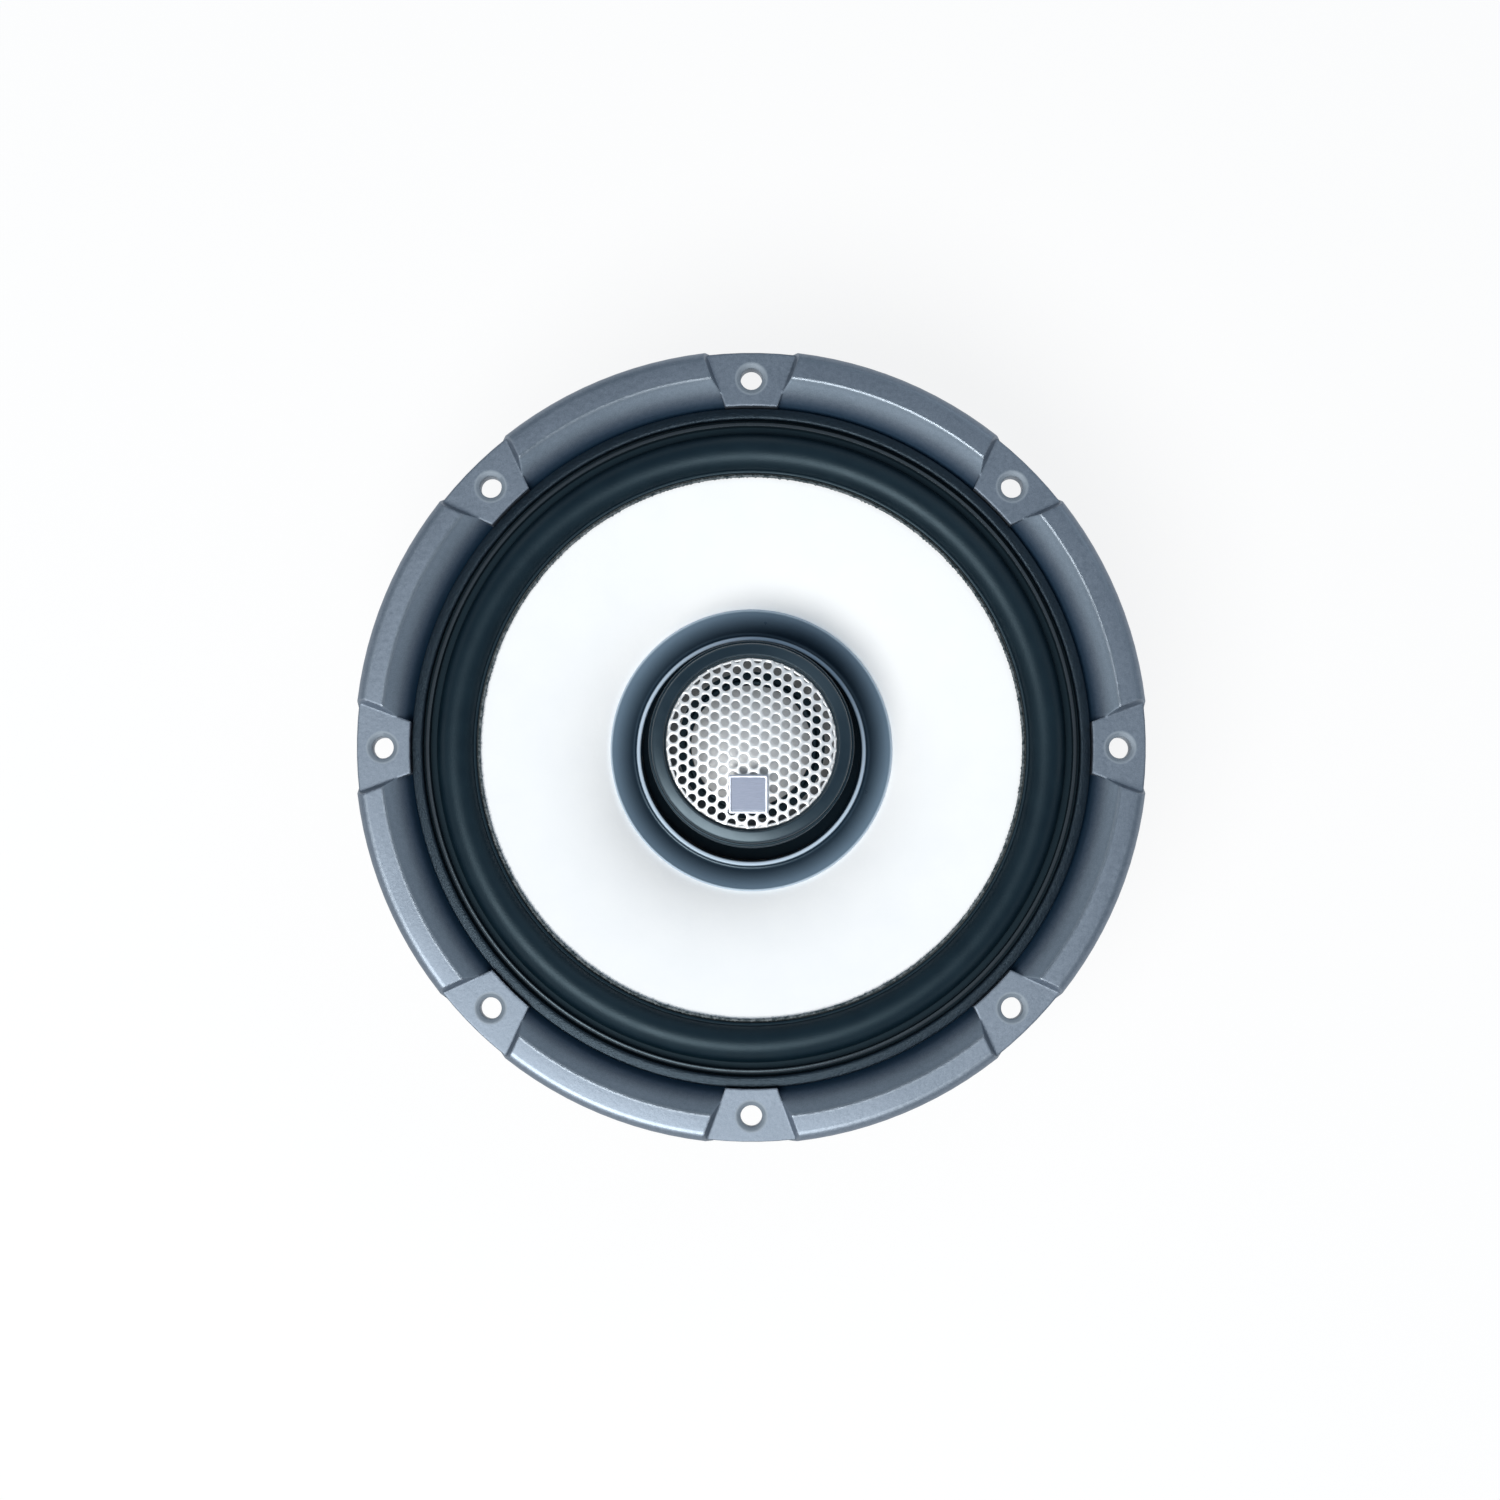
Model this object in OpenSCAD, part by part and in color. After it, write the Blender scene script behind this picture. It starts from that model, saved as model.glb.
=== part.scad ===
// Two-way coaxial car loudspeaker with a cast frame, a driven cone and a tweeter carried on a post.
// Millimetres. +Z points to the listener; Z = 0 is the rear face of the motor.

/* [Flange] */
// Diameter across the screw pads
flange_d = 165; // [161:0.5:169]
// How far the raised rim stands out past the pads
rim_bulge = 0.4; // [0.2:0.1:0.8]
// Depth from the flange's back face to the rear of the motor
mount_depth = 58; // [57:0.5:62]
// Thickness of the flange at a screw pad
pad_t = 4; // [3.5:0.1:4.6]
// Height of the raised rim above the pads
rim_rise = 2.3; // [1.7:0.1:2.8]
// Number of screw pads
pad_n = 8; // [4:4:8]
// Width of a pad at the flange's edge
pad_w_outer = 19; // [16:0.2:20]
// Width of a pad at its inner edge
pad_w_inner = 10.8; // [9:0.2:12]
// Radial length of a pad
pad_len = 11; // [10.4:0.1:11.6]
// Lean of the pad's side walls from upright
pad_wall_lean = 22; // [12:1:35]
// Diameter of the mounting holes
hole_d = 4.55; // [4:0.05:5]
// Distance of the mounting holes from the flange's edge
hole_inset = 5.35; // [5:0.05:5.8]
// Width of the bevel round a mounting hole
hole_bevel = 0.8; // [0.3:0.1:1.1]
// Width of the flat land on the raised rim
land_w = 3.7; // [3:0.1:4.2]
// Radius of the raised rim's outer shoulder
shoulder_r = 2; // [1.4:0.1:2.2]
// Height of the foot of the rim's inner slope above the ledge
slope_foot = 0.6; // [0.3:0.1:1.2]
// How much the inner slope bulges: 0 is straight, more is steeper at its foot
slope_crown = 0.4; // [0:0.05:0.6]
// Bevel between the land and the slope
land_bevel = 0.25; // [0.15:0.05:0.5]

/* [Frame] */
// Thickness of the frame's floor
floor_t = 3; // [2.5:0.1:3.5]
// Height of the spider shelf above the floor's underside
shelf_h = 10; // [9.5:0.5:11]
// Height of the wall round the spider shelf
shelf_wall_h = 3; // [2:0.5:3.5]
// Width of the spider shelf
shelf_w = 4.4; // [4:0.1:5]
// Wall thickness round the spider shelf
can_wall = 2.6; // [2.2:0.1:3]
// How far the shelf stands out past the magnet
can_flare = 5.4; // [5:0.1:6]
// Thickness of the spokes, measured upright
spoke_t = 5; // [4:0.1:5.6]
// Width of a spoke
spoke_w = 18; // [14:0.5:22]
// Width of the rib along a spoke
spoke_rib_w = 3.2; // [2.5:0.1:4]
// Corner radius of the windows
window_r = 4; // [2:0.5:5]
// Radial width of the ledge under the surround
ledge_w = 5.7; // [5:0.1:6]
// Depth of the ledge below the pads
ledge_drop = 3.8; // [3.4:0.1:4]
// Thickness of the frame's wall below the flange
hoop_h = 3; // [2.5:0.1:3.5]
// Width of the vent slots
vent_w = 9; // [6:0.5:10]
// Height of the vent slots
vent_h = 3.2; // [2.4:0.1:3.4]

/* [Motor] */
// Diameter of the ferrite ring
magnet_d = 90; // [87:0.5:91]
// Thickness of the ferrite ring
magnet_t = 15; // [13:0.5:16]
// Bore of the ferrite ring
magnet_bore = 44; // [42:0.5:46]
// Thickness of the front and back plates
plate_t = 5; // [4.6:0.1:6]
// How far the plates are set in from the magnet's edge
plate_inset = 2.5; // [1.5:0.1:4]
// Edge bevel on the plates
plate_bevel = 0.8; // [0.4:0.1:1.2]
// Edge bevel on the magnet
magnet_bevel = 0.6; // [0.3:0.1:1]
// Inner radius of the voice coil former
coil_r = 17.5; // [17.3:0.05:17.6]
// Wall of the voice coil former
former_wall = 0.3; // [0.25:0.05:0.35]
// Radial build of the winding
winding_t = 0.7; // [0.5:0.05:0.8]
// Height of the winding
winding_h = 12; // [10:0.5:13]
// Running gap on each side of the voice coil
coil_gap = 0.4; // [0.35:0.05:0.5]
// Number of screws that hold the motor to the frame
motor_screw_n = 4; // [3:1:6]
// Radius of the motor screw circle
motor_screw_r = 33; // [30:0.5:35]
// Shank diameter of the motor screws
motor_screw_d = 4; // [3:0.1:4.5]
// Head diameter of the motor screws
motor_head_d = 7.6; // [7:0.1:8]
// Head height of the motor screws
motor_head_h = 2.2; // [1.8:0.1:2.4]

/* [Cone] */
// Cone travel each way
stroke = 5; // [3:0.5:5]
// Thickness of the cone
cone_t = 0.7; // [0.5:0.05:0.9]
// Share of the cone's depth that is a straight slope
cone_straight = 0.36; // [0.3:0.02:0.5]
// Height of the cone's neck above the spider shelf
neck_h = 7.6; // [7:0.1:8.4]
// Outer radius of the dark collar
collar_r = 30; // [28.6:0.1:31]
// Radius of the collar's rolled lip
lip_r = 24.2; // [23.5:0.1:24.6]
// Section radius of the rolled lip
lip_roll = 0.9; // [0.6:0.05:1]
// Thickness of the collar
collar_t = 0.8; // [0.6:0.05:1]

/* [Surround] */
// Width of the half roll
roll_w = 8; // [7:0.1:8.4]
// Thickness of the rubber
rubber_t = 0.7; // [0.5:0.05:0.8]
// Thickness of the surround's outer flange
surround_flange_t = 0.8; // [0.6:0.05:1]
// Height of the moulded ridge on the outer flange
ridge_h = 1.7; // [1.2:0.05:1.9]
// Width of the moulded ridge
ridge_w = 0.8; // [0.6:0.05:0.9]
// Gap between the ridge and the gasket ring
ridge_gap = 0.6; // [0.4:0.05:0.8]
// Width of the adhesive bead at the cone's edge
bead_w = 0.7; // [0.5:0.05:0.8]
// Width of the gasket ring
gasket_w = 2.35; // [2:0.05:2.5]
// Thickness of the gasket ring
gasket_t = 1.8; // [1.4:0.05:2]

/* [Spider] */
// Thickness of the spider cloth
spider_t = 0.45; // [0.35:0.05:0.6]
// Height of each wave above and below the middle
spider_wave = 1.1; // [0.6:0.05:1.2]
// Number of waves
spider_n = 6; // [4:1:7]

/* [Tweeter] */
// Radius of the tweeter housing
pod_r = 21.1; // [20.8:0.05:21.3]
// Height of the housing above the flange's back face
pod_rise = 14; // [12.5:0.1:15]
// Overall height of the housing
pod_h = 20.6; // [20.4:0.1:21]
// Radius of the flat under the housing
pod_heel_r = 7.6; // [7:0.1:8.4]
// Height of the housing's tapered part
pod_taper_h = 10.4; // [9.6:0.1:11.2]
// Radius of the bezel's opening
bezel_r = 17.95; // [17.8:0.05:18]
// Height of the bezel's crown
bezel_h = 1.9; // [1.6:0.1:2.2]
// Rise of the grille's dome
grille_rise = 1.8; // [1.4:0.1:2.4]
// Thickness of the grille sheet
grille_t = 0.7; // [0.5:0.05:0.8]
// Spacing of the perforations
hole_pitch = 2.4; // [2.3:0.05:2.8]
// Diameter of the perforations
perf_d = 1.76; // [1.5:0.02:1.8]
// Turn of the perforation pattern
perf_turn = 2; // [-5:1:5]
// Sideways offset of the perforation pattern
perf_x = 0.7; // [-1:0.1:1]
// Offset of the perforation pattern away from the badge
perf_y = 0.4; // [-1:0.1:1]
// Diameter of the tweeter's dome
dome_d = 24.8; // [24.4:0.1:25]
// Rise of the tweeter's dome
dome_rise = 4; // [3:0.1:4.6]
// Tweeter travel each way
dome_stroke = 0.3; // [0.1:0.05:0.4]
// Width of the blank badge
badge_w = 8.1; // [6:0.1:8.4]
// Height of the blank badge
badge_l = 7.9; // [6:0.1:8.4]
// Thickness of the blank badge
badge_t = 0.9; // [0.6:0.1:1.4]
// Distance of the badge's centre from the grille's edge
badge_offset = 7.4; // [6.8:0.1:8.8]
// Radius of the post
post_r = 6; // [5.6:0.1:6.4]
// Bore of the post
post_bore = 3; // [2:0.1:3.4]
// Radius of the post's shoulder on the pole
shoulder_seat_r = 11; // [9:0.5:12]
// Height of the post's shoulder
shoulder_seat_h = 2.2; // [1.6:0.1:3]
// Radius of the recess for the rear nut
recess_r = 11.5; // [10.6:0.1:12.5]
// Depth of the recess for the rear nut
recess_h = 4.6; // [4.4:0.1:4.8]
// Radius of the rear nut's washer
washer_r = 10; // [9:0.1:11]
// Thickness of the rear nut's washer
washer_t = 0.8; // [0.5:0.1:1]
// Width across flats of the rear nut
nut_rear_w = 17; // [15:0.5:18]
// Height of the rear nut
nut_rear_h = 3; // [2.4:0.1:3.2]
// Width across flats of the nut in the housing
nut_top_w = 15; // [13:0.5:17]
// Height of the nut in the housing
nut_top_h = 2; // [1.5:0.1:2.4]
// Radius of the tweeter's steel cup
cup_r = 15.6; // [14.8:0.1:16.4]
// Height of the tweeter's steel cup
cup_h = 7.3; // [7:0.1:7.6]
// Thickness of the cup's floor
cup_floor = 2; // [1.6:0.1:2.2]
// Radius of the tweeter's magnet
neo_r = 10.6; // [9:0.1:11]
// Thickness of the tweeter's magnet
neo_t = 3; // [2.6:0.1:3.2]
// Thickness of the tweeter's top plate
top_plate_t = 2; // [1.5:0.1:2.2]
// Thickness of the ring that carries the tweeter's suspension
face_t = 2.7; // [2.2:0.1:2.8]
// Inner radius of the tweeter housing
pod_in = 18.4; // [18.2:0.05:18.8]

/* [Terminals] */
// Width of the terminal board
board_w = 28; // [27:0.5:31]
// Thickness of the terminal board
board_t = 1.6; // [1.2:0.1:2]
// Width of the positive blade
spade_w_pos = 6.3; // [6.3:0.1:6.6]
// Width of the negative blade
spade_w_neg = 4.8; // [4.7:0.1:5]
// Thickness of the blades
spade_t = 0.8; // [0.7:0.05:1]
// Radius of the board's rivets
rivet_r = 1.6; // [1.2:0.1:1.8]
// Radius of the rivet heads
rivet_head_r = 2.6; // [2.2:0.1:3]
// Height of the rivet heads
rivet_head_h = 0.9; // [0.6:0.1:1.2]
// Length of the blades
spade_l = 9; // [7:0.5:10]
// Diameter of the capacitor
cap_d = 7; // [5:0.5:8]
// Length of the capacitor
cap_l = 15; // [10:0.5:15.5]
// Radius of the flexible leads
lead_r = 0.5; // [0.3:0.05:0.6]
// Radius of the capacitor's own wires
cap_wire_r = 0.35; // [0.25:0.05:0.4]
// How far the capacitor's wires stand out before they bend
cap_wire_out = 1.2; // [1:0.1:1.4]
// How far below the blades the capacitor's wires end
cap_wire_drop = 5.3; // [5:0.1:5.6]

/* [Hidden] */
$fn = 72;
// clearance round parts that are pressed, screwed or dropped together
fit = 0.05;
// how far a pad runs into the rim beside it
pad_root = 0.1;
// film of adhesive between bonded parts
glue = 0.05;
// how far a cutting shape runs past the stock
over = 1;
// steps along a curved section
steps = 16;

motor_h = magnet_t + 2 * plate_t;
plate_r = magnet_d / 2 - plate_inset;
back_z = mount_depth;
pad_z = back_z + pad_t;
land_z = pad_z + rim_rise;
flange_r = flange_d / 2;
rim_r = flange_r + rim_bulge;
throat_r = flange_r - pad_len;
ledge_z = pad_z - ledge_drop;
ledge_r = throat_r - ledge_w;
hoop_r = throat_r - 0.6;
land_r = rim_r - shoulder_r - land_w;
slope_r = throat_r + 0.35;
slope_lo = ledge_z + slope_foot;
hole_r = flange_r - hole_inset;

floor_r = coil_r + former_wall + winding_t + 1.1;
can_r = magnet_d / 2 + can_flare;
shelf_z = motor_h + shelf_h;
shelf_out = can_r - can_wall;
shelf_in = shelf_out - shelf_w;
can_top = shelf_z + shelf_wall_h;
spoke_r = hoop_r - 1.6;
spoke_z = back_z - hoop_h - 1.1;
spoke_lean = (spoke_z - (can_top - spoke_t / 2)) / (spoke_r - can_r);
window_lo = can_top + 1.4;
window_hi = spoke_z - 0.4;

pole_r = coil_r - coil_gap;
former_r = coil_r + former_wall;
winding_r = former_r + winding_t;
plate_bore = winding_r + coil_gap;
gap_mid = motor_h - plate_t / 2;
former_lo = plate_t + stroke + 3;
neck_z = shelf_z + neck_h;
former_hi = neck_z + 1.1;

gasket_out = throat_r - 0.25;
gasket_in = gasket_out - gasket_w;
surround_top = ledge_z + surround_flange_t;
roll_mid = ledge_r + 0.25 - roll_w / 2;
roll_r = roll_w / 2 + 0.1;
roll_z = surround_top - 0.1;
cone_r = roll_mid - roll_w / 2 + 0.45;
cone_z = surround_top + 0.65;
cone_depth = cone_z - neck_z;
bead_r = cone_r - 1.65;
flange_in = bead_r + bead_w + glue;
ridge_out = gasket_in - ridge_gap;

pod_top = back_z + pod_rise;
pod_lo = pod_top - pod_h;
pod_floor = pod_lo + 3;
cup_z = pod_floor + 2.7;
seat_z = pod_top - 0.8;
grille_r = bezel_r - 0.15;
grille_z = seat_z + 0.9;
grille_ball = (grille_r * grille_r + grille_rise * grille_rise) / (2 * grille_rise);
cup_in = dome_d / 2 + 0.75;
face_z = cup_z + cup_h;
neo_z = cup_z + cup_floor;
dome_z = face_z + face_t;
dome_ball = (pow(dome_d / 2, 2) + dome_rise * dome_rise) / (2 * dome_rise);

boss_y = can_r + 1.1;
board_lo = motor_h + 3.5;
board_hi = can_top + 8.6;
spade_x = 7.5;
spade_z = board_hi - 1.4;
board_screw_x = 10.7;
board_screw_z = motor_h + 8;
anchor_r = collar_r - 2;

// slope of the cone's front face at radius r, and the heights of its faces
function cone_u(r) = (cone_r - r) / (cone_r - former_r);
function cone_front(r) = cone_z
    - cone_depth * (cone_straight * cone_u(r) + (1 - cone_straight) * pow(cone_u(r), 4));
function cone_slope(r) = cone_depth / (cone_r - former_r)
    * (cone_straight + 4 * (1 - cone_straight) * pow(cone_u(r), 3));
function cone_back(r) = cone_front(r) - cone_t * sqrt(1 + pow(cone_slope(r), 2));
function span(a, b, i, n) = a + (b - a) * i / n;

// points of an arc of radius r that rounds the corner at b between a and c
function corner_arc(a, b, c, r, n = 6) =
    let (
        u = (a - b) / norm(a - b),
        v = (c - b) / norm(c - b),
        half = acos(u * v) / 2,
        mid = b + (u + v) / norm(u + v) * r / sin(half),
        from = b + u * r / tan(half) - mid,
        turn = (180 - 2 * half) * sign(u[1] * v[0] - u[0] * v[1])
    )
    [for (i = [0 : n]) let (t = turn * i / n)
        mid + [from[0] * cos(t) - from[1] * sin(t), from[0] * sin(t) + from[1] * cos(t)]];
function rounded_points(p, r) = [
    for (i = [0 : len(p) - 1])
        each corner_arc(p[(i + len(p) - 1) % len(p)], p[i], p[(i + 1) % len(p)], r)
];

module turned(points) {
    rotate_extrude() polygon(points);
}

module ring(inner, outer, z, h) {
    turned([[inner, z], [outer, z], [outer, z + h], [inner, z + h]]);
}

module around(count, first = 0) {
    for (i = [0 : count - 1])
        rotate([0, 0, first + i * 360 / count]) children();
}

module rounded(w, h, r) {
    square([w - 2 * r, h], center = true);
    square([w, h - 2 * r], center = true);
    for (x = [-1, 1], y = [-1, 1])
        translate([x * (w / 2 - r), y * (h / 2 - r)]) circle(r);
}

// a round bar along X from -l/2 to l/2
module bar_x(r, l) {
    rotate([0, 90, 0]) cylinder(r = r, h = l, center = true);
}

// a round bar along -Y that starts at the given point
module bar_out(x, y, z, r, l) {
    translate([x, y, z]) rotate([90, 0, 0]) cylinder(r = r, h = l);
}

module hex(flats, h) {
    cylinder(r = flats / sqrt(3), h = h, $fn = 6);
}

// ---- motor ----

// steel back plate and centre pole in one, with a recess for the post's nut
module back_plate() {
    color([0.16, 0.17, 0.18]) turned([
        [recess_r, 0],
        [plate_r - plate_bevel, 0],
        [plate_r, plate_bevel],
        [plate_r, plate_t - plate_bevel],
        [plate_r - plate_bevel, plate_t],
        [pole_r + 1.4, plate_t],
        [pole_r, plate_t + 1.4],
        [pole_r, motor_h - plate_bevel],
        [pole_r - plate_bevel, motor_h],
        [post_r + fit, motor_h],
        [post_r + fit, recess_h],
        [recess_r, recess_h]
    ]);
}

module magnet() {
    r = magnet_d / 2;
    z = plate_t;
    b = magnet_bevel;
    color([0.12, 0.12, 0.13]) turned([
        [magnet_bore / 2, z],
        [r - b, z],
        [r, z + b],
        [r, z + magnet_t - b],
        [r - b, z + magnet_t],
        [magnet_bore / 2, z + magnet_t]
    ]);
}

module front_plate() {
    z = motor_h - plate_t;
    b = plate_bevel;
    color([0.16, 0.17, 0.18]) difference() {
        turned([
            [plate_bore, z],
            [plate_r - b, z],
            [plate_r, z + b],
            [plate_r, motor_h - b],
            [plate_r - b, motor_h],
            [plate_bore, motor_h]
        ]);
        around(motor_screw_n) translate([motor_screw_r, 0, z - over])
            cylinder(d = motor_screw_d + 2 * fit, h = plate_t + 2 * over);
    }
}

// ---- cast frame ----

// section of the frame and of its raised rim
function slope_points() = [
    [land_r, land_z],
    for (i = [0 : 6])
        let (u = i / 6)
        [span(land_r - land_bevel, slope_r, u, 1),
            span(land_z - land_bevel, slope_lo, (1 - slope_crown) * u + slope_crown * u * u, 1)]
];
function shoulder_points() = [
    for (i = [0 : 6])
        let (a = i * 15)
        [rim_r - shoulder_r + shoulder_r * cos(a), land_z - shoulder_r + shoulder_r * sin(a)]
];

module basket_section() {
    turned(concat(
        [
            [floor_r, motor_h],
            [magnet_d / 2, motor_h],
            [can_r, motor_h + can_flare * 1.2],
            [can_r, can_top - spoke_t / 2],
            [spoke_r, spoke_z],
            [hoop_r, spoke_z + 1.1],
            [hoop_r, back_z],
            [rim_r - 0.5, back_z],
            [rim_r, back_z + 0.5]
        ],
        shoulder_points(),
        slope_points(),
        [
            [throat_r, ledge_z + slope_foot / 2],
            [throat_r, ledge_z],
            [ledge_r, ledge_z],
            [ledge_r, ledge_z - 2.6],
            [shelf_out, can_top + 0.6],
            [shelf_out, shelf_z],
            [shelf_in, shelf_z],
            [shelf_in, shelf_z - 2.6],
            [shelf_in - 3, motor_h + floor_t],
            [floor_r, motor_h + floor_t]
        ]
    ));
}

// outline of a pad, wider towards the edge, in a view along Z
module pad_outline() {
    grow = (pad_w_outer - pad_w_inner) / 2 / pad_len;
    near = pad_w_inner / 2 + pad_root;
    far = pad_w_outer / 2 + pad_root;
    polygon([
        [throat_r - 1, grow - near],
        [flange_r + 1, -far - grow],
        [flange_r + 1, far + grow],
        [throat_r - 1, near - grow]
    ]);
}

// gap in the raised rim for a pad, between its leaning side walls
module pad_space() {
    side = atan((pad_w_outer - pad_w_inner) / 2 / pad_len);
    intersection() {
        translate([throat_r + 0.3, -20, back_z - over]) cube([20, 40, 15]);
        translate([throat_r, pad_w_inner / 2, pad_z]) rotate([0, 0, side])
            rotate([-pad_wall_lean, 0, 0]) translate([-20, -60, -60]) cube([60, 60, 120]);
        translate([throat_r, -pad_w_inner / 2, pad_z]) rotate([0, 0, -side])
            rotate([pad_wall_lean, 0, 0]) translate([-20, 0, -60]) cube([60, 60, 120]);
    }
}

// half the width of a window at radius r, so that the spokes keep their width
function window_half(r) = r * sin(45 - asin(spoke_w / 2 / r));

// one window: wider at the top, with rounded corners, cut straight out from the axis
module window_cut() {
    lo = window_half((shelf_out + can_r) / 2 + 2.5);
    hi = window_half((ledge_r + spoke_r) / 2 - 1);
    translate([ledge_r / 2, 0, 0]) rotate([90, 0, 90]) linear_extrude(ledge_r)
        polygon(rounded_points([
            [-lo, window_lo],
            [lo, window_lo],
            [hi, window_hi],
            [-hi, window_hi]
        ], window_r));
}

module spoke_rib() {
    rotate([90, 0, 0]) linear_extrude(spoke_rib_w, center = true) polygon([
        [magnet_d / 2 - 1, motor_h + 1],
        [magnet_d / 2 + can_flare - 1.6, motor_h + 1],
        [hoop_r - 0.3, spoke_z - 3.4],
        [hoop_r - 0.3, back_z],
        [hoop_r - 3, back_z],
        [can_r - 2, can_top - spoke_t / 2]
    ]);
}

// flat for the terminal board on the outside of the shelf wall
module board_boss() {
    difference() {
        translate([-board_w / 2, -boss_y, motor_h + 2.5])
            cube([board_w, boss_y / 3, can_top - motor_h - 2.5]);
        cylinder(r = shelf_out + can_wall / 2, h = can_top + over);
    }
}

// room for the terminal board in front of its flat
module board_space() {
    translate([-board_w / 2 - 0.6, -boss_y - 12, motor_h + 0.5])
        cube([board_w + 1.2, 12, board_hi - motor_h]);
}

module basket() {
    color([0.45, 0.49, 0.55]) difference() {
        union() {
            difference() {
                basket_section();
                around(pad_n) pad_space();
                around(4) window_cut();
            }
            around(pad_n) intersection() {
                translate([0, 0, back_z]) linear_extrude(pad_t) pad_outline();
                ring(throat_r, flange_r, back_z, pad_t);
            }
            around(4, 45) spoke_rib();
            board_boss();
        }
        board_space();
        around(pad_n) translate([hole_r, 0, 0]) {
            translate([0, 0, back_z - over]) cylinder(d = hole_d, h = pad_t + 2 * over);
            translate([0, 0, pad_z - 0.5])
                cylinder(d1 = hole_d, d2 = hole_d + 2 * hole_bevel, h = 0.5);
        }
        around(motor_screw_n) translate([motor_screw_r, 0, motor_h - over])
            cylinder(d = motor_screw_d + 0.4, h = floor_t + 2 * over);
        around(8, 22.5) translate([shelf_in - 6, 0, motor_h + floor_t + vent_h / 2 + 0.3])
            rotate([90, 0, 90]) linear_extrude(20) rounded(vent_w, vent_h, vent_h / 2 - 0.1);
        for (x = [-1, 1])
            bar_out(x * board_screw_x, -shelf_out, board_screw_z, rivet_r + fit, 8);
    }
}

module motor_screws() {
    z = motor_h + floor_t;
    color([0.72, 0.72, 0.7]) around(motor_screw_n) translate([motor_screw_r, 0, 0])
        difference() {
            union() {
                translate([0, 0, z - floor_t - plate_t + 0.6])
                    cylinder(d = motor_screw_d, h = floor_t + plate_t - 0.6);
                translate([0, 0, z]) cylinder(d = motor_head_d, h = motor_head_h - 0.7);
                translate([0, 0, z + motor_head_h - 0.7])
                    cylinder(d1 = motor_head_d, d2 = motor_head_d - 2, h = 0.7);
            }
            for (a = [0, 90])
                rotate([0, 0, a]) translate([-2, -0.45, z + motor_head_h - 1.2]) cube([4, 0.9, 2]);
        }
}

// ring that clamps the surround's outer flange
module gasket_ring() {
    z = surround_top;
    top = z + gasket_t;
    color([0.2, 0.22, 0.24]) turned([
        [gasket_in, z],
        [gasket_out, z],
        [gasket_out, top - 0.6],
        [gasket_out - 0.2, top - 0.2],
        [gasket_out - 0.6, top],
        [gasket_in + 0.6, top],
        [gasket_in + 0.2, top - 0.25],
        [gasket_in, top - 0.7]
    ]);
}

// ---- suspension ----

function spider_mid(r) = shelf_z + spider_t / 2 + 0.02
    + spider_wave * sin(360 * spider_n * (r - former_r - 2.6) / (shelf_in - former_r - 3.2));

module spider() {
    inner = former_r + 2.6;
    outer = shelf_in - 0.6;
    n = spider_n * 8;
    flat = shelf_z + spider_t / 2 + 0.02;
    color([0.78, 0.66, 0.36]) union() {
        turned(concat(
            [[former_r + glue, flat - spider_t / 2]],
            [for (i = [0 : n]) [span(inner, outer, i, n),
                spider_mid(span(inner, outer, i, n)) - spider_t / 2]],
            [[shelf_out - 0.2, flat - spider_t / 2], [shelf_out - 0.2, flat + spider_t / 2]],
            [for (i = [n : -1 : 0]) [span(inner, outer, i, n),
                spider_mid(span(inner, outer, i, n)) + spider_t / 2]],
            [[former_r + glue + 0.5, flat + spider_t / 2],
                [former_r + glue + 0.5, flat + 2], [former_r + glue, flat + 2]]
        ));
    }
}

// rubber half roll with a flat outer flange, a moulded ridge and a bonded inner lip
module surround() {
    inner_z = cone_z + glue;
    color([0.06, 0.07, 0.08]) rotate_extrude() {
        difference() {
            translate([roll_mid, roll_z]) circle(roll_r);
            translate([roll_mid, roll_z]) circle(roll_r - rubber_t);
            translate([roll_mid - 10, roll_z - 10]) square([20, 10]);
            translate([roll_mid - 10, roll_z - 10]) square([10, 10 + inner_z - roll_z]);
        }
        polygon([
            [roll_mid + roll_r - rubber_t, ledge_z],
            [gasket_out, ledge_z],
            [gasket_out, surround_top],
            [ridge_out, surround_top],
            [ridge_out - 0.15, surround_top + ridge_h],
            [ridge_out - ridge_w + 0.15, surround_top + ridge_h],
            [ridge_out - ridge_w, surround_top],
            [roll_mid + roll_r, surround_top],
            [roll_mid + roll_r, roll_z],
            [roll_mid + roll_r - rubber_t, roll_z]
        ]);
        polygon([
            [flange_in, inner_z],
            [roll_mid - roll_r + rubber_t + 0.2, inner_z],
            [roll_mid - roll_r + rubber_t + 0.2, inner_z + 0.55],
            [roll_mid - roll_r + 0.2, inner_z + 0.7],
            [flange_in, inner_z + 0.7]
        ]);
    }
}

// ---- moving assembly ----

module voice_coil_former() {
    color([0.75, 0.6, 0.3])
        ring(coil_r, former_r, former_lo, former_hi - former_lo);
}

module voice_coil_winding() {
    color([0.72, 0.4, 0.2])
        ring(former_r, winding_r, gap_mid - winding_h / 2, winding_h);
}

module cone() {
    inner = former_r + glue;
    flat = cone_r - 2;
    color([0.95, 0.96, 0.97]) turned(concat(
        [for (i = [0 : steps]) [span(inner, flat, i, steps),
            cone_front(span(inner, flat, i, steps))]],
        [[cone_r, cone_z], [cone_r, cone_z - cone_t]],
        [for (i = [steps : -1 : 0]) [span(inner, flat, i, steps),
            cone_back(span(inner, flat, i, steps))]]
    ));
}

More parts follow.
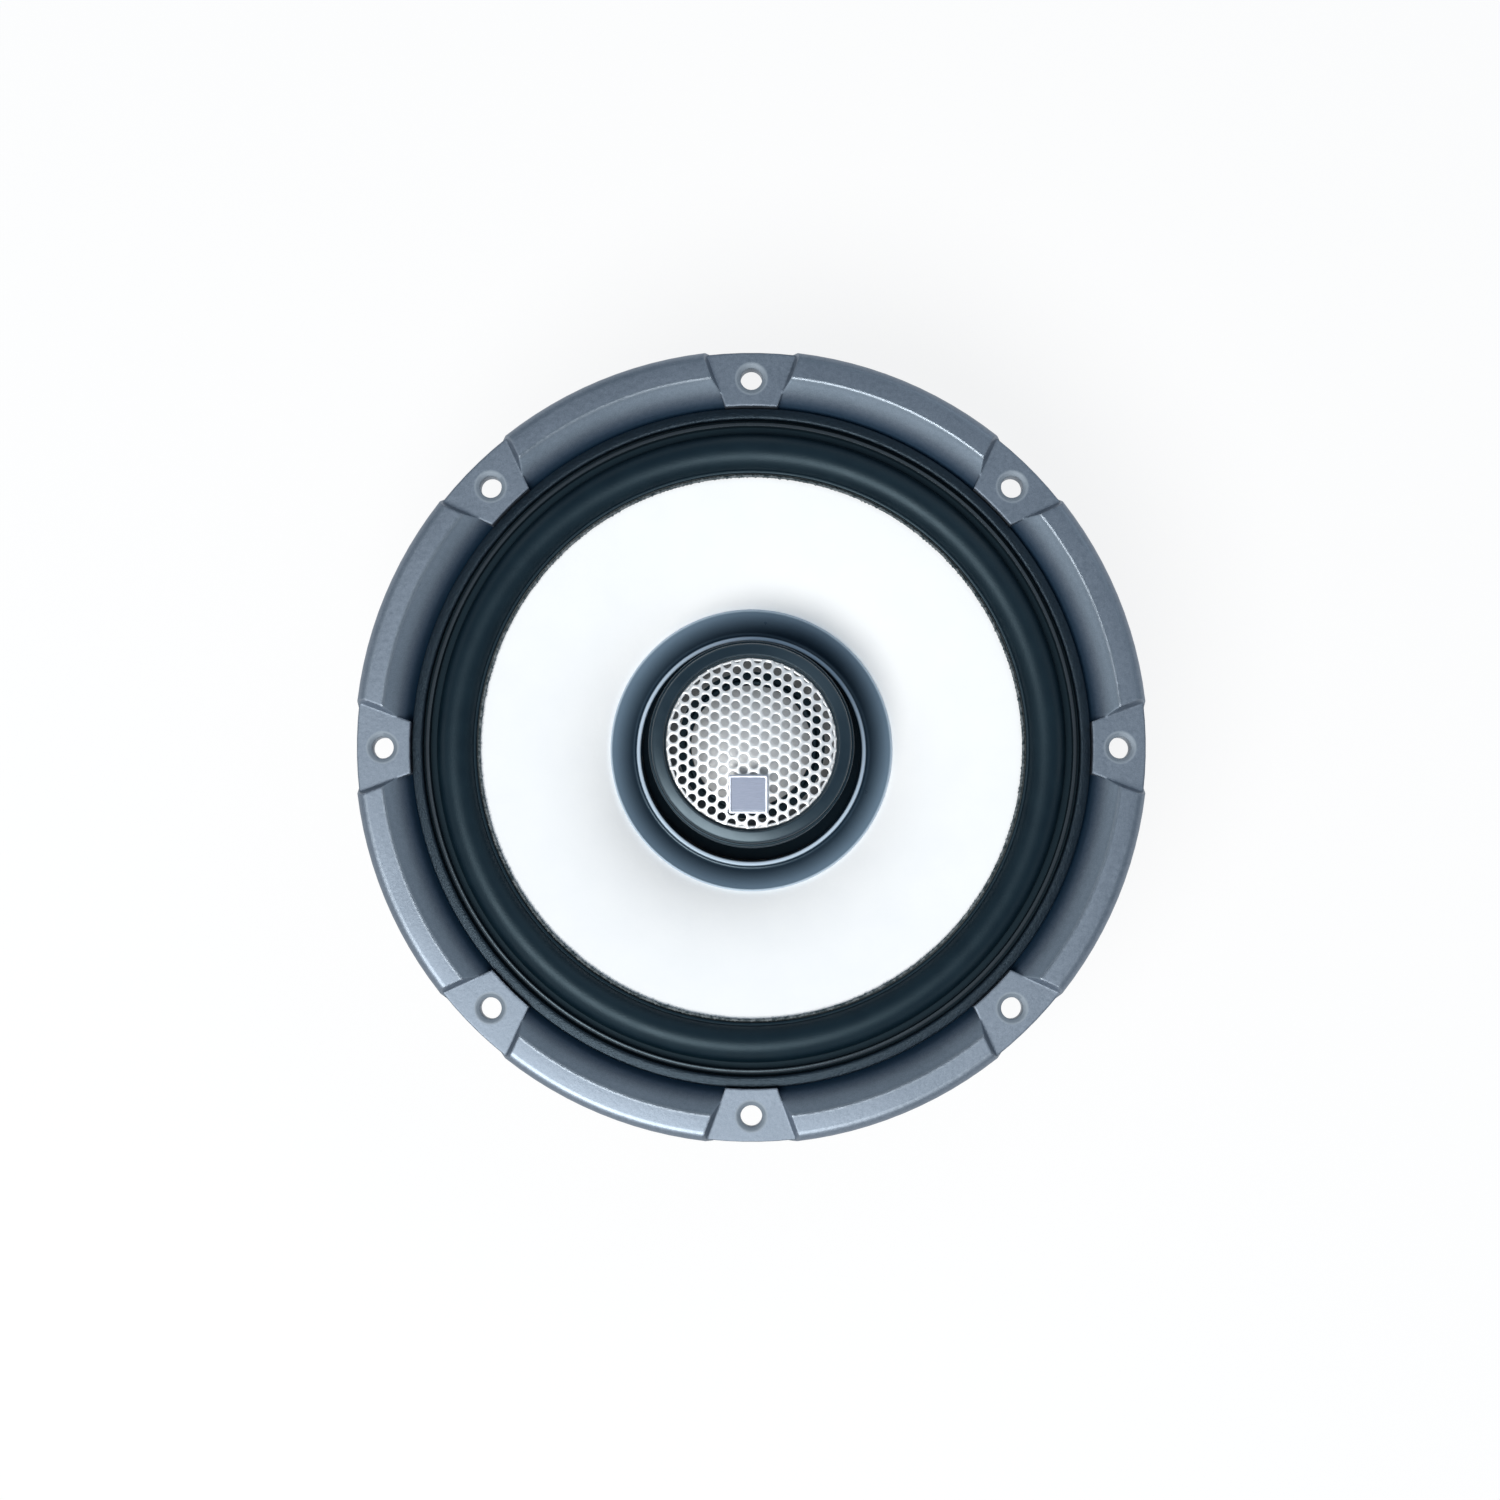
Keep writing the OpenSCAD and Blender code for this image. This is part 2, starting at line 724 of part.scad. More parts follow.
// glossy funnel bonded over the cone, with a rolled inner lip
module cone_collar() {
    inner = lip_r + 0.3;
    edge = collar_r - 0.35;
    n = 8;
    color([0.1, 0.13, 0.18]) rotate_extrude() {
        polygon(concat(
            [for (i = [0 : n]) [span(inner, collar_r, i, n),
                cone_front(span(inner, collar_r, i, n)) + glue]],
            [[collar_r, cone_front(collar_r) + glue + 0.35]],
            [for (i = [n : -1 : 0]) [span(inner, edge, i, n),
                cone_front(span(inner, edge, i, n)) + glue
                + collar_t * sqrt(1 + pow(cone_slope(span(inner, edge, i, n)), 2))]]
        ));
        translate([lip_r, lip_mid()]) circle(lip_roll);
    }
}
function lip_mid() = cone_front(lip_r)
    + (lip_roll + 2 * glue) * sqrt(1 + pow(cone_slope(lip_r), 2));

// bead of adhesive at the surround's inner edge
module edge_bead() {
    z = cone_z + glue;
    color([0.45, 0.48, 0.5]) turned([
        [bead_r, z],
        [bead_r + bead_w, z],
        [bead_r + bead_w, z + 0.45],
        [bead_r + bead_w - 0.2, z + 0.65],
        [bead_r + 0.2, z + 0.5]
    ]);
}

// eyelets under the cone that take the ends of the flexible leads
module lead_eyelets() {
    z = cone_back(anchor_r + 1.6);
    color([0.78, 0.7, 0.45]) for (x = [-spade_x, spade_x])
        intersection() {
            translate([x, -anchor_r, z - 2.2]) cylinder(r = 1.5, h = 3);
            turned([
                [anchor_r - 4, z - 4],
                [anchor_r + 4, z - 4],
                [anchor_r + 4, cone_back(anchor_r + 4) - glue],
                [anchor_r + 2, cone_back(anchor_r + 2) - glue],
                [anchor_r, cone_back(anchor_r) - glue],
                [anchor_r - 2, cone_back(anchor_r - 2) - glue],
                [anchor_r - 4, cone_back(anchor_r - 4) - glue]
            ]);
        }
}

// a bar bent to a hanging arc from p to q in the plane of Y and Z
module hanging(p, q, sag, r) {
    len = norm(q - p);
    arc_r = (len * len / 4 + sag * sag) / (2 * sag);
    dir = (q - p) / len;
    c = (p + q) / 2 + [-dir[1], dir[0]] * (arc_r - sag);
    a = atan2(p[1] - c[1], p[0] - c[0]);
    b = atan2(q[1] - c[1], q[0] - c[0]);
    rotate([90, 0, 90]) translate([c[0], c[1], 0]) rotate([0, 0, a])
        rotate_extrude(angle = b - a) translate([arc_r, 0]) circle(r, $fn = 16);
}

module tinsel_leads() {
    start = [-boss_y + 0.9 + 2 * glue, spade_z - 3];
    end = [-anchor_r, cone_back(anchor_r + 1.6) - 2.2 - lead_r - glue];
    color([0.8, 0.7, 0.5]) for (x = [-spade_x, spade_x])
        translate([x, 0, 0]) hanging(start, end, 4, lead_r);
}

// ---- tweeter ----

// hollow post through the pole, with a shoulder on the pole and a neck for the housing
module tweeter_stem() {
    color([0.5, 0.51, 0.53]) turned([
        [post_bore, 0.3],
        [post_r - 0.5, 0.3],
        [post_r, 0.8],
        [post_r, motor_h],
        [shoulder_seat_r, motor_h],
        [shoulder_seat_r, motor_h + shoulder_seat_h - 0.6],
        [shoulder_seat_r - 0.6, motor_h + shoulder_seat_h],
        [post_r, motor_h + shoulder_seat_h],
        [post_r, pod_lo],
        [post_r - 1, pod_lo],
        [post_r - 1, pod_floor + nut_top_h + 0.4],
        [post_bore, pod_floor + nut_top_h + 0.4]
    ]);
}

module stem_washer() {
    color([0.7, 0.7, 0.7]) ring(post_r + fit, washer_r, recess_h - washer_t, washer_t);
}

module stem_nut_rear() {
    color([0.65, 0.66, 0.68]) difference() {
        translate([0, 0, recess_h - washer_t - nut_rear_h]) hex(nut_rear_w, nut_rear_h);
        translate([0, 0, -over]) cylinder(r = post_r + fit, h = 8);
    }
}

module stem_nut_top() {
    color([0.65, 0.66, 0.68]) difference() {
        translate([0, 0, pod_floor]) hex(nut_top_w, nut_top_h);
        translate([0, 0, pod_floor - over]) cylinder(r = post_r - 1 + fit, h = 6);
    }
}

// point of the housing's taper, from 0 degrees at its foot to 90 at its wall
function pod_taper(a) = [
    pod_heel_r + (pod_r - pod_heel_r) * pow(sin(a), 1.1),
    pod_lo + pod_taper_h * (1 - pow(cos(a), 1.1))
];

// moulded housing: a cup on the post that tapers to clear the cone
module tweeter_pod() {
    color([0.09, 0.1, 0.12]) turned([
        [post_r - 1 + fit, pod_lo],
        for (i = [0 : 6]) pod_taper(15 * i),
        [pod_r, pod_top - 0.3],
        [pod_r - 0.3, pod_top],
        [pod_r - 0.55, pod_top],
        [pod_r - 0.55, seat_z],
        [pod_in, seat_z],
        [pod_in, cup_z],
        [cup_r - 4.1, cup_z],
        [cup_r - 4.1, pod_floor],
        [post_r - 1 + fit, pod_floor]
    ]);
}

module tweeter_cup() {
    color([0.6, 0.61, 0.63]) turned([
        [0, cup_z],
        [cup_r - 0.4, cup_z],
        [cup_r, cup_z + 0.4],
        [cup_r, cup_z + cup_h],
        [cup_in, cup_z + cup_h],
        [cup_in, neo_z],
        [0, neo_z]
    ]);
}

module tweeter_magnet() {
    color([0.7, 0.7, 0.72]) translate([0, 0, neo_z]) cylinder(r = neo_r, h = neo_t);
}

module tweeter_top_plate() {
    color([0.55, 0.56, 0.58]) translate([0, 0, neo_z + neo_t])
        cylinder(r = dome_d / 2 - 0.65, h = top_plate_t);
}

// ring that carries the dome's suspension
module tweeter_faceplate() {
    color([0.55, 0.57, 0.6]) turned([
        [cup_in + 0.6, face_z],
        [pod_in - 0.1, face_z],
        [pod_in - 0.1, dome_z - 1.3],
        [pod_in - 1.8, dome_z - 1.3],
        [pod_in - 3, dome_z],
        [cup_in + 0.6, dome_z]
    ]);
}

module tweeter_coil() {
    r = dome_d / 2;
    color([0.72, 0.4, 0.2]) turned([
        [r - 0.25, neo_z + neo_t - 0.6],
        [r + 0.35, neo_z + neo_t - 0.6],
        [r + 0.35, neo_z + neo_t + top_plate_t],
        [r, neo_z + neo_t + top_plate_t],
        [r, dome_z],
        [r - 0.25, dome_z]
    ]);
}

module tweeter_dome() {
    r = dome_d / 2;
    color([0.8, 0.81, 0.83]) rotate_extrude() intersection() {
        difference() {
            translate([0, dome_z + dome_rise - dome_ball]) circle(dome_ball, $fn = 144);
            translate([0, dome_z + dome_rise - dome_ball]) circle(dome_ball - 0.3, $fn = 144);
        }
        translate([0, dome_z]) square([r, dome_rise + 1]);
    }
}

// small half roll between the dome and the faceplate
module tweeter_roll() {
    r = dome_d / 2 + glue;
    mid = (r + cup_in + 0.7) / 2;
    w = cup_in + 0.7 - r;
    z = dome_z + 0.02;
    color([0.07, 0.07, 0.08]) rotate_extrude() {
        difference() {
            translate([mid, z]) circle(w / 2);
            translate([mid, z]) circle(w / 2 - 0.25);
            translate([mid - 3, z - 6]) square([6, 6]);
        }
        translate([mid + w / 2 - 0.25, z]) square([1.6, 0.25]);
    }
}

// crown of the bezel: a convex ring that falls away outwards
module tweeter_bezel() {
    outer = pod_r - 0.6;
    color([0.1, 0.12, 0.15]) turned(concat(
        [
            [bezel_r - 1.1, seat_z],
            [outer, seat_z],
            [outer, pod_top + 0.1]
        ],
        [for (i = [1 : 7]) let (u = i / 7)
            [span(outer, bezel_r + 0.3, u, 1), pod_top + 0.1 + (bezel_h - 0.1) * sin(90 * pow(u, 0.8))]],
        [
            [bezel_r, pod_top + bezel_h - 0.3],
            [bezel_r, grille_z],
            [bezel_r - 1.1, grille_z]
        ]
    ));
}

// domed sheet with a staggered field of round perforations
module perforations() {
    rows = ceil((grille_r + 1) / (hole_pitch * 0.866));
    keep = grille_r + 0.3;
    a = 90 - perf_turn;
    for (i = [-rows : rows], j = [-rows : rows])
        let (
            x = (j + (abs(i) % 2) / 2) * hole_pitch,
            y = i * hole_pitch * sqrt(3) / 2,
            at = [x * cos(a) - y * sin(a) + perf_x, x * sin(a) + y * cos(a) + perf_y]
        )
        if (norm(at) < keep)
            translate(at) circle(d = perf_d, $fn = 16);
}

module tweeter_grille() {
    z = grille_z + grille_t + grille_rise - grille_ball;
    color([0.82, 0.82, 0.83]) intersection() {
        rotate_extrude() difference() {
            intersection() {
                translate([0, z]) circle(grille_ball, $fn = 360);
                translate([0, grille_z]) square([grille_r, 6]);
            }
            translate([0, z]) circle(grille_ball - grille_t, $fn = 360);
        }
        translate([0, 0, grille_z - over]) linear_extrude(8) difference() {
            circle(grille_r + 1);
            perforations();
        }
    }
}

// plain badge with a raised border and nothing on its face
module badge_plate() {
    z = grille_z + grille_t + grille_rise - grille_ball;
    tilt = asin((grille_r - badge_offset) / grille_ball);
    color([0.62, 0.66, 0.74]) translate([-0.6, 0, z]) rotate([tilt, 0, 0])
        translate([0, 0, grille_ball + 0.02]) difference() {
            translate([-badge_w / 2, -badge_l / 2, 0]) cube([badge_w, badge_l, badge_t]);
            translate([-badge_w / 2 + 0.6, -badge_l / 2 + 0.6, badge_t - 0.2])
                cube([badge_w - 1.2, badge_l - 1.2, 1]);
        }
}

// ---- terminals ----

module terminal_board() {
    h = board_hi - board_lo;
    color([0.14, 0.14, 0.13]) difference() {
        translate([0, -boss_y, board_lo + h / 2]) rotate([90, 0, 0])
            linear_extrude(board_t) rounded(board_w, h, 1.5);
        for (x = [-1, 1]) {
            bar_out(x * board_screw_x, -boss_y + over, board_screw_z, rivet_r + fit, board_t + 2 * over);
            bar_out(x * spade_x, -boss_y + over, spade_z - 3, 1.2 + fit, board_t + 2 * over);
        }
    }
}

module board_rivets() {
    color([0.75, 0.75, 0.77]) for (x = [-1, 1]) {
        bar_out(x * board_screw_x, -shelf_out - 0.8, board_screw_z, rivet_r,
            boss_y - shelf_out - 0.8 + board_t);
        bar_out(x * board_screw_x, -boss_y - board_t, board_screw_z, rivet_head_r, rivet_head_h);
    }
}

// a foot on the board and a blade that stands out from it
module spade(w) {
    y = -boss_y - board_t;
    difference() {
        union() {
            translate([-w / 2, y - spade_t, spade_z - 6]) cube([w, spade_t, 6]);
            translate([0, 0, spade_z - spade_t]) linear_extrude(spade_t) polygon([
                [-w / 2, y],
                [-w / 2, y - spade_l + 1],
                [-w / 2 + 1, y - spade_l],
                [w / 2 - 1, y - spade_l],
                [w / 2, y - spade_l + 1],
                [w / 2, y]
            ]);
        }
        translate([0, y - spade_l * 0.6, spade_z - spade_t - over]) cylinder(d = 1.8, h = 4);
        bar_out(0, y + over, spade_z - 3, 1.2 + fit, spade_t + 2 * over);
    }
}

module spade_positive() {
    color([0.8, 0.74, 0.55]) translate([spade_x, 0, 0]) spade(spade_w_pos);
}

module spade_negative() {
    color([0.8, 0.8, 0.8]) translate([-spade_x, 0, 0]) spade(spade_w_neg);
}

module spade_rivets() {
    color([0.78, 0.75, 0.6]) for (x = [-spade_x, spade_x]) {
        bar_out(x, -boss_y + 0.8, spade_z - 3, 1.9, 0.8);
        bar_out(x, -boss_y + 0.8, spade_z - 3, 1.2, 0.8 + board_t + spade_t);
        bar_out(x, -boss_y - board_t - spade_t, spade_z - 3, 1.9, 0.7);
    }
}

module capacitor() {
    color([0.1, 0.12, 0.2]) translate([0, -boss_y - board_t - glue - cap_d / 2, board_screw_z])
        difference() {
            bar_x(cap_d / 2, cap_l);
            difference() {
                translate([cap_l / 2 - 2.4, 0, 0]) bar_x(cap_d, 0.8);
                translate([cap_l / 2 - 2.4, 0, 0]) bar_x(cap_d / 2 - 0.35, 2);
            }
        }
}

module capacitor_leads() {
    y = -boss_y - board_t - glue - cap_d / 2;
    foot = -boss_y - board_t - spade_t - glue;
    r = cap_wire_r;
    up = spade_z - cap_wire_drop;
    color([0.75, 0.75, 0.76]) for (s = [-1, 1]) {
        x = s * (cap_l / 2 + cap_wire_out);
        translate([s * (cap_l + cap_wire_out) / 2, y, board_screw_z]) bar_x(r, cap_wire_out);
        translate([x, y, board_screw_z]) sphere(r, $fn = 24);
        translate([x, y, board_screw_z]) cylinder(r = r, h = up - board_screw_z);
        translate([x, y, up]) sphere(r, $fn = 24);
        bar_out(x, foot, up, r, foot - y);
    }
}

back_plate();
magnet();
front_plate();
basket();
motor_screws();
gasket_ring();
spider();
surround();
voice_coil_former();
voice_coil_winding();
cone();
cone_collar();
edge_bead();
lead_eyelets();
tinsel_leads();
tweeter_stem();
stem_washer();
stem_nut_rear();
stem_nut_top();
tweeter_pod();
tweeter_cup();
tweeter_magnet();
tweeter_top_plate();
tweeter_faceplate();
tweeter_coil();
tweeter_dome();
tweeter_roll();
tweeter_bezel();
tweeter_grille();
badge_plate();
terminal_board();
board_rivets();
spade_positive();
spade_negative();
spade_rivets();
capacitor();
capacitor_leads();
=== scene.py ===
import math

import bmesh
import bpy
from mathutils import Matrix, Vector
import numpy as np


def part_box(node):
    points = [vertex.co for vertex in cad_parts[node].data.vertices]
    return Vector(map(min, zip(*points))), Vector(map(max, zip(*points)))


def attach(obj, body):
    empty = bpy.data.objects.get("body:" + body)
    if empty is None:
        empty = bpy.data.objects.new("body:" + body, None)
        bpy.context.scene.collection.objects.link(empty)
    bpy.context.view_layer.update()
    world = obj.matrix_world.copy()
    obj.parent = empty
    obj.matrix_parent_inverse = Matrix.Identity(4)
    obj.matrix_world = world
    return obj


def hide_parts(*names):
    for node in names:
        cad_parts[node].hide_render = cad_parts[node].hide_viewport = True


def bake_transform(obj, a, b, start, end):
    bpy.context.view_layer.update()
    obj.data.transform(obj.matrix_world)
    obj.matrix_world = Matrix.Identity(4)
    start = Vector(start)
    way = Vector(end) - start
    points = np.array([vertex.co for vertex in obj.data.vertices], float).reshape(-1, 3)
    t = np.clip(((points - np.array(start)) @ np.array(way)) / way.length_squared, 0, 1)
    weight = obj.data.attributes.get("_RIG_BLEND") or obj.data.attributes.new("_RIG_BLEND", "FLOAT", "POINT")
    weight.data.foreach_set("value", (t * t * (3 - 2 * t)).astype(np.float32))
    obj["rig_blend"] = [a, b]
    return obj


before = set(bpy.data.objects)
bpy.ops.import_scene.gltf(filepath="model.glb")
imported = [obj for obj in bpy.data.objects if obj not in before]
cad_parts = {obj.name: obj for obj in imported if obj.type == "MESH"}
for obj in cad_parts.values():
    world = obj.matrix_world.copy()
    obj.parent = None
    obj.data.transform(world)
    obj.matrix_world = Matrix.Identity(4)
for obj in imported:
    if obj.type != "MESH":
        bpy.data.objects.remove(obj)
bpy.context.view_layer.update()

# ---------------------------------------------------------------- the view
# The speaker lies face up on a pale floor. The camera looks straight down, a little off the
# axis towards the terminals, and its lens is shifted to bring the speaker to the middle.
scene = bpy.context.scene
VIEW_DISTANCE = 0.48
VIEW_WIDTH = 0.3137
VIEW_ASIDE = 0.0360
VIEW_SHIFT = 0.1130
AIM_X = -0.00028
RIM_HEIGHT = 0.062
aim = Vector((AIM_X, 0, RIM_HEIGHT))
lens = bpy.data.cameras.new("view")
lens.lens = lens.sensor_width * VIEW_DISTANCE / VIEW_WIDTH
lens.shift_y = VIEW_SHIFT
lens.clip_start = 0.01
camera = bpy.data.objects.new("view", lens)
camera.location = aim + Vector((0, -VIEW_ASIDE, VIEW_DISTANCE))
scene.collection.objects.link(camera)
scene.camera = camera
scene.view_settings.view_transform = "Standard"


class Number:
    """A number that varies over a surface; Python's operators on it add Math nodes."""

    def __init__(self, graph, socket):
        self.graph, self.socket = graph, socket

    def math(self, operation, *others):
        """A Math node that takes this number first."""
        values = dict(enumerate((self, *others)))
        return self.graph.node("ShaderNodeMath", {"operation": operation}, values)[0]

    def __add__(self, other):
        return self.math("ADD", other)

    def __sub__(self, other):
        return self.math("SUBTRACT", other)

    def __rsub__(self, other):
        return self.math("MULTIPLY_ADD", -1, other)

    def __mul__(self, other):
        return self.math("MULTIPLY", other)

    def __truediv__(self, other):
        return self.math("DIVIDE", other)

    def __pow__(self, other):
        return self.math("POWER", other)

    __radd__ = __add__
    __rmul__ = __mul__

    def sine(self):
        return self.math("SINE")

    def cosine(self):
        return self.math("COSINE")

    def size(self):
        return self.math("ABSOLUTE")

    def clamped(self):
        return self.graph.node("ShaderNodeClamp", {}, {0: self})[0]

    def ramp(self, low, high):
        """0 at low, 1 at high, eased between them; low may be the larger of the two."""
        return self.graph.node(
            "ShaderNodeMapRange",
            {"interpolation_type": "SMOOTHSTEP"},
            {"Value": self, "From Min": low, "From Max": high},
        )[0]


class Graph:
    """A node tree, with one method that adds any node to it."""

    def __init__(self, tree):
        self.tree = tree

    def node(self, kind, settings=None, sockets=None):
        made = self.tree.nodes.new(kind)
        for key, value in (settings or {}).items():
            setattr(made, key, value)
        for key, value in (sockets or {}).items():
            for one in value if isinstance(value, list) else [value]:
                self.feed(made.inputs[key], one)
        return Outputs(self, made)

    def feed(self, taker, value):
        """Links a Number or a socket to an input, or sets a plain value on it."""
        if isinstance(value, Number):
            value = value.socket
        if isinstance(value, bpy.types.NodeSocket):
            self.tree.links.new(value, taker)
        else:
            taker.default_value = value

    def point(self, x, y, z):
        return self.node("ShaderNodeCombineXYZ", {}, {0: x, 1: y, 2: z})[0]

    def parts(self, vector):
        three = self.node("ShaderNodeSeparateXYZ", {}, {0: vector})
        return three[0], three[1], three[2]

    def background_rays(self):
        """1 on the rays that see a background by eye, in metal or through glass, else 0."""
        ray = self.node("ShaderNodeLightPath")
        return (ray["Is Camera Ray"] + ray["Is Glossy Ray"] + ray["Is Transmission Ray"]).clamped()

    def end_with(self, share, first, second, end):
        """Joins a mix of two shaders to the tree's end node."""
        mixed = self.node("ShaderNodeMixShader", {}, {0: share, 1: first, 2: second})[0]
        self.feed(self.tree.nodes[end].inputs["Surface"], mixed)


class Finish(Graph):
    """A surface finish: a Principled shader and the nodes that vary it."""

    def __init__(self, name, colour, roughness, **constants):
        self.material = bpy.data.materials.new(name)
        self.material.use_nodes = True
        super().__init__(self.material.node_tree)
        self.shader = self.tree.nodes["Principled BSDF"]
        self.set(Base_Color=(*colour, 1), Roughness=roughness, **constants)
        self.place = self.node("ShaderNodeTexCoord")["Object"]
        self.normal = None

    def set(self, **inputs):
        """Sets or links the shader's own inputs, each named with _ for a space."""
        for key, value in inputs.items():
            self.feed(self.shader.inputs[key.replace("_", " ")], value)

    def noise(self, scale, detail=2.0, rough=0.5, place=None):
        return self.node(
            "ShaderNodeTexNoise",
            {},
            {"Vector": place or self.place, "Scale": scale, "Detail": detail, "Roughness": rough},
        )[0]

    def mix(self, share, a, b):
        """Colour a where share is 0, colour b where it is 1."""
        a, b = [(*colour, 1) if isinstance(colour, tuple) else colour for colour in (a, b)]
        return self.node("ShaderNodeMix", {"data_type": "RGBA"}, {0: share, 6: a, 7: b})[2]

    def polar(self):
        """Distance from the speaker's axis, angle round it, and height."""
        x, y, z = self.parts(self.place)
        return (x * x + y * y) ** 0.5, y.math("ARCTAN2", x), z

    def turned_marks(self, across, along):
        """Fine marks that run round the speaker's axis, as a cutting tool leaves them."""
        r, angle, z = self.polar()
        return self.noise(1.0, 3, place=self.point(r * across, angle * along, z * across))

    def bump(self, height, depth, strength=1.0):
        """Relief of the given depth in metres; later calls lie over earlier ones."""
        sockets = {"Height": height, "Distance": depth, "Strength": strength}
        if self.normal:
            sockets["Normal"] = self.normal
        self.normal = self.node("ShaderNodeBump", {}, sockets)["Normal"]
        self.set(Normal=self.normal)

    def round_edges(self, radius):
        """Shades the edges as if rounded; it comes before any bump."""
        self.normal = self.node("ShaderNodeBevel", {"samples": 6}, {"Radius": radius})["Normal"]
        self.set(Normal=self.normal)

    def coat(self, *names):
        """Puts this finish on CAD nodes, in their own material slots."""
        for name in names:
            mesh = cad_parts[name].data
            mesh.materials.clear()
            mesh.materials.append(self.material)


class Outputs:
    """A node's outputs, by name or number; a plain number comes back as a Number."""

    def __init__(self, graph, made):
        self.graph, self.made = graph, made

    def __getitem__(self, key):
        socket = self.made.outputs[key]
        return Number(self.graph, socket) if socket.type in ("VALUE", "INT") else socket


# The floor is a plain pale sheet. It shows nearly white behind the speaker and in its
# metal, keeps a soft shadow, and bounces light up to the frame.
FLOOR_SIZE = 40.0
FLOOR_GAP = 0.0002
FLOOR_WHITE = 0.86
half = FLOOR_SIZE / 2
corners = [(-half, -half, 0), (half, -half, 0), (half, half, 0), (-half, half, 0)]
sheet = bpy.data.meshes.new("floor")
sheet.from_pydata(corners, [], [(0, 1, 2, 3)])
floor = bpy.data.objects.new("floor", sheet)
floor.location.z = -FLOOR_GAP
scene.collection.objects.link(floor)
paper = Finish("floor_paper", (0.94, 0.95, 0.96), 0.9, Specular_IOR_Level=0.1)
white = paper.node("ShaderNodeEmission", {}, {"Color": (1, 1, 1, 1), "Strength": 1.0})[0]
paper.end_with(
    FLOOR_WHITE * paper.background_rays(), paper.shader.outputs[0], white, "Material Output"
)
sheet.materials.append(paper.material)

# Soft light: a cool dim room whose walls look white up to 30 degrees over the horizon, one
# large warm panel high beyond the terminals and to their left, and a weak cool one opposite.
ROOM_COLOUR, ROOM_LEVEL = (0.65, 0.82, 1.0, 1), 0.333
WALL_COLOUR = (0.888, 0.896, 0.905, 1)
WALL_TOP, WALL_FADE = 0.5, 0.3
world = bpy.data.worlds.new("room")
scene.world = world
world.use_nodes = True
room = Graph(world.node_tree)
height = room.parts(room.node("ShaderNodeTexCoord")["Generated"])[2]
wall = room.background_rays() * height.ramp(WALL_TOP, WALL_FADE)
dim = room.node("ShaderNodeBackground", {}, {"Color": ROOM_COLOUR, "Strength": ROOM_LEVEL})[0]
white = room.node("ShaderNodeBackground", {}, {"Color": WALL_COLOUR, "Strength": 1.0})[0]
room.end_with(wall, dim, white, "World Output")


def panel(name, place, width, depth, power, colour):
    """An oval area light turned towards the speaker."""
    light = bpy.data.lights.new(name, "AREA")
    light.shape = "ELLIPSE"
    light.size, light.size_y = width, depth
    light.energy = power
    light.color = colour
    lamp = bpy.data.objects.new(name, light)
    lamp.location = place
    lamp.rotation_euler = (lamp.location - aim).to_track_quat("Z", "Y").to_euler()
    scene.collection.objects.link(lamp)


panel("key_panel", (-0.266, -0.460, 1.062), 0.85, 0.6, power=12.4, colour=(1.0, 0.97, 0.925))
panel("fill_panel", (0.6, 0.7, 0.9), 0.8, 0.8, power=1.2, colour=(0.9, 0.96, 1.0))

# ---------------------------------------------------------------- motor plates
# Turned low-carbon steel plates, coated in thin black paint and bonded to the magnet.
# The centre pole and the back plate are one forging.
plates = Finish("black_steel", (0.035, 0.038, 0.042), 0.42, Metallic=0.3)
plates.round_edges(0.0003)
lathe_marks = plates.turned_marks(2200, 1.1)
speckle = plates.noise(1800, 4)
plates.set(
    Roughness=0.32 + 0.22 * speckle,
    Base_Color=plates.mix(speckle.ramp(0.35, 0.7), (0.025, 0.028, 0.031), (0.055, 0.06, 0.066)),
)
plates.bump(lathe_marks * 0.6 + speckle * 0.4, 0.00006)
plates.coat("back_plate", "front_plate")

# ---------------------------------------------------------------- magnet
# A pressed and fired strontium ferrite ring, bonded between the two plates. It is dull
# black and gritty, with blunt edges.
ferrite = Finish("ferrite", (0.03, 0.03, 0.033), 0.8)
ferrite.round_edges(0.0004)
grit = ferrite.noise(3200, 5, 0.65)
cloud = ferrite.noise(90, 3)
dusty = (grit * 0.5 + cloud * 0.5).ramp(0.3, 0.75)
ferrite.set(
    Base_Color=ferrite.mix(dusty, (0.022, 0.022, 0.024), (0.065, 0.064, 0.066)),
    Roughness=0.68 + 0.25 * grit,
)
ferrite.bump(grit, 0.00012)
ferrite.coat("magnet")

# ---------------------------------------------------------------- frame
# One aluminium casting with eight screw pads in a raised rim, painted in a fine
# blue-grey metallic coat. The rim's two crests are lighter, partly rubbed wear and partly
# painted highlight. The slope has a painted highlight high up and painted dark blue shade
# at its foot, where it runs down into the throat, and a painted highlight rings each screw hole.
LAND_IN, LAND_OUT = 0.0772, 0.0809
CREST_WIDE, CREST_FADE = 0.0002, 0.0005
CREST_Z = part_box("basket")[1][2] - 0.0012
THROAT_R = 0.0715
SLOPE_Z = 0.0583
SLOPE_FOOT, SLOPE_MID, SLOPE_HEAD = 0.0713, 0.0735, 0.0752
HOLE_AT = 0.07715
HOLE_HIGHLIGHT_R = 0.0032
PAD_Z = 0.0606
HIGHLIGHT_COLOUR = (0.34, 0.39, 0.44)
paint = Finish("gunmetal_paint", (0.175, 0.218, 0.26), 0.5, Metallic=0.9)
paint.round_edges(0.0006)
flake = paint.noise(5200, 2, 0.6)
cast = paint.noise(1100, 4, 0.6)
drift = paint.noise(45, 2)
shade = (flake * 0.5 + cast * 0.3 + drift * 0.2).ramp(0.3, 0.72)
r, angle, z = paint.polar()
tilt = paint.parts(paint.node("ShaderNodeTexCoord")["Normal"])[2]
coat = paint.mix(shade, (0.154, 0.190, 0.236), (0.236, 0.280, 0.340))
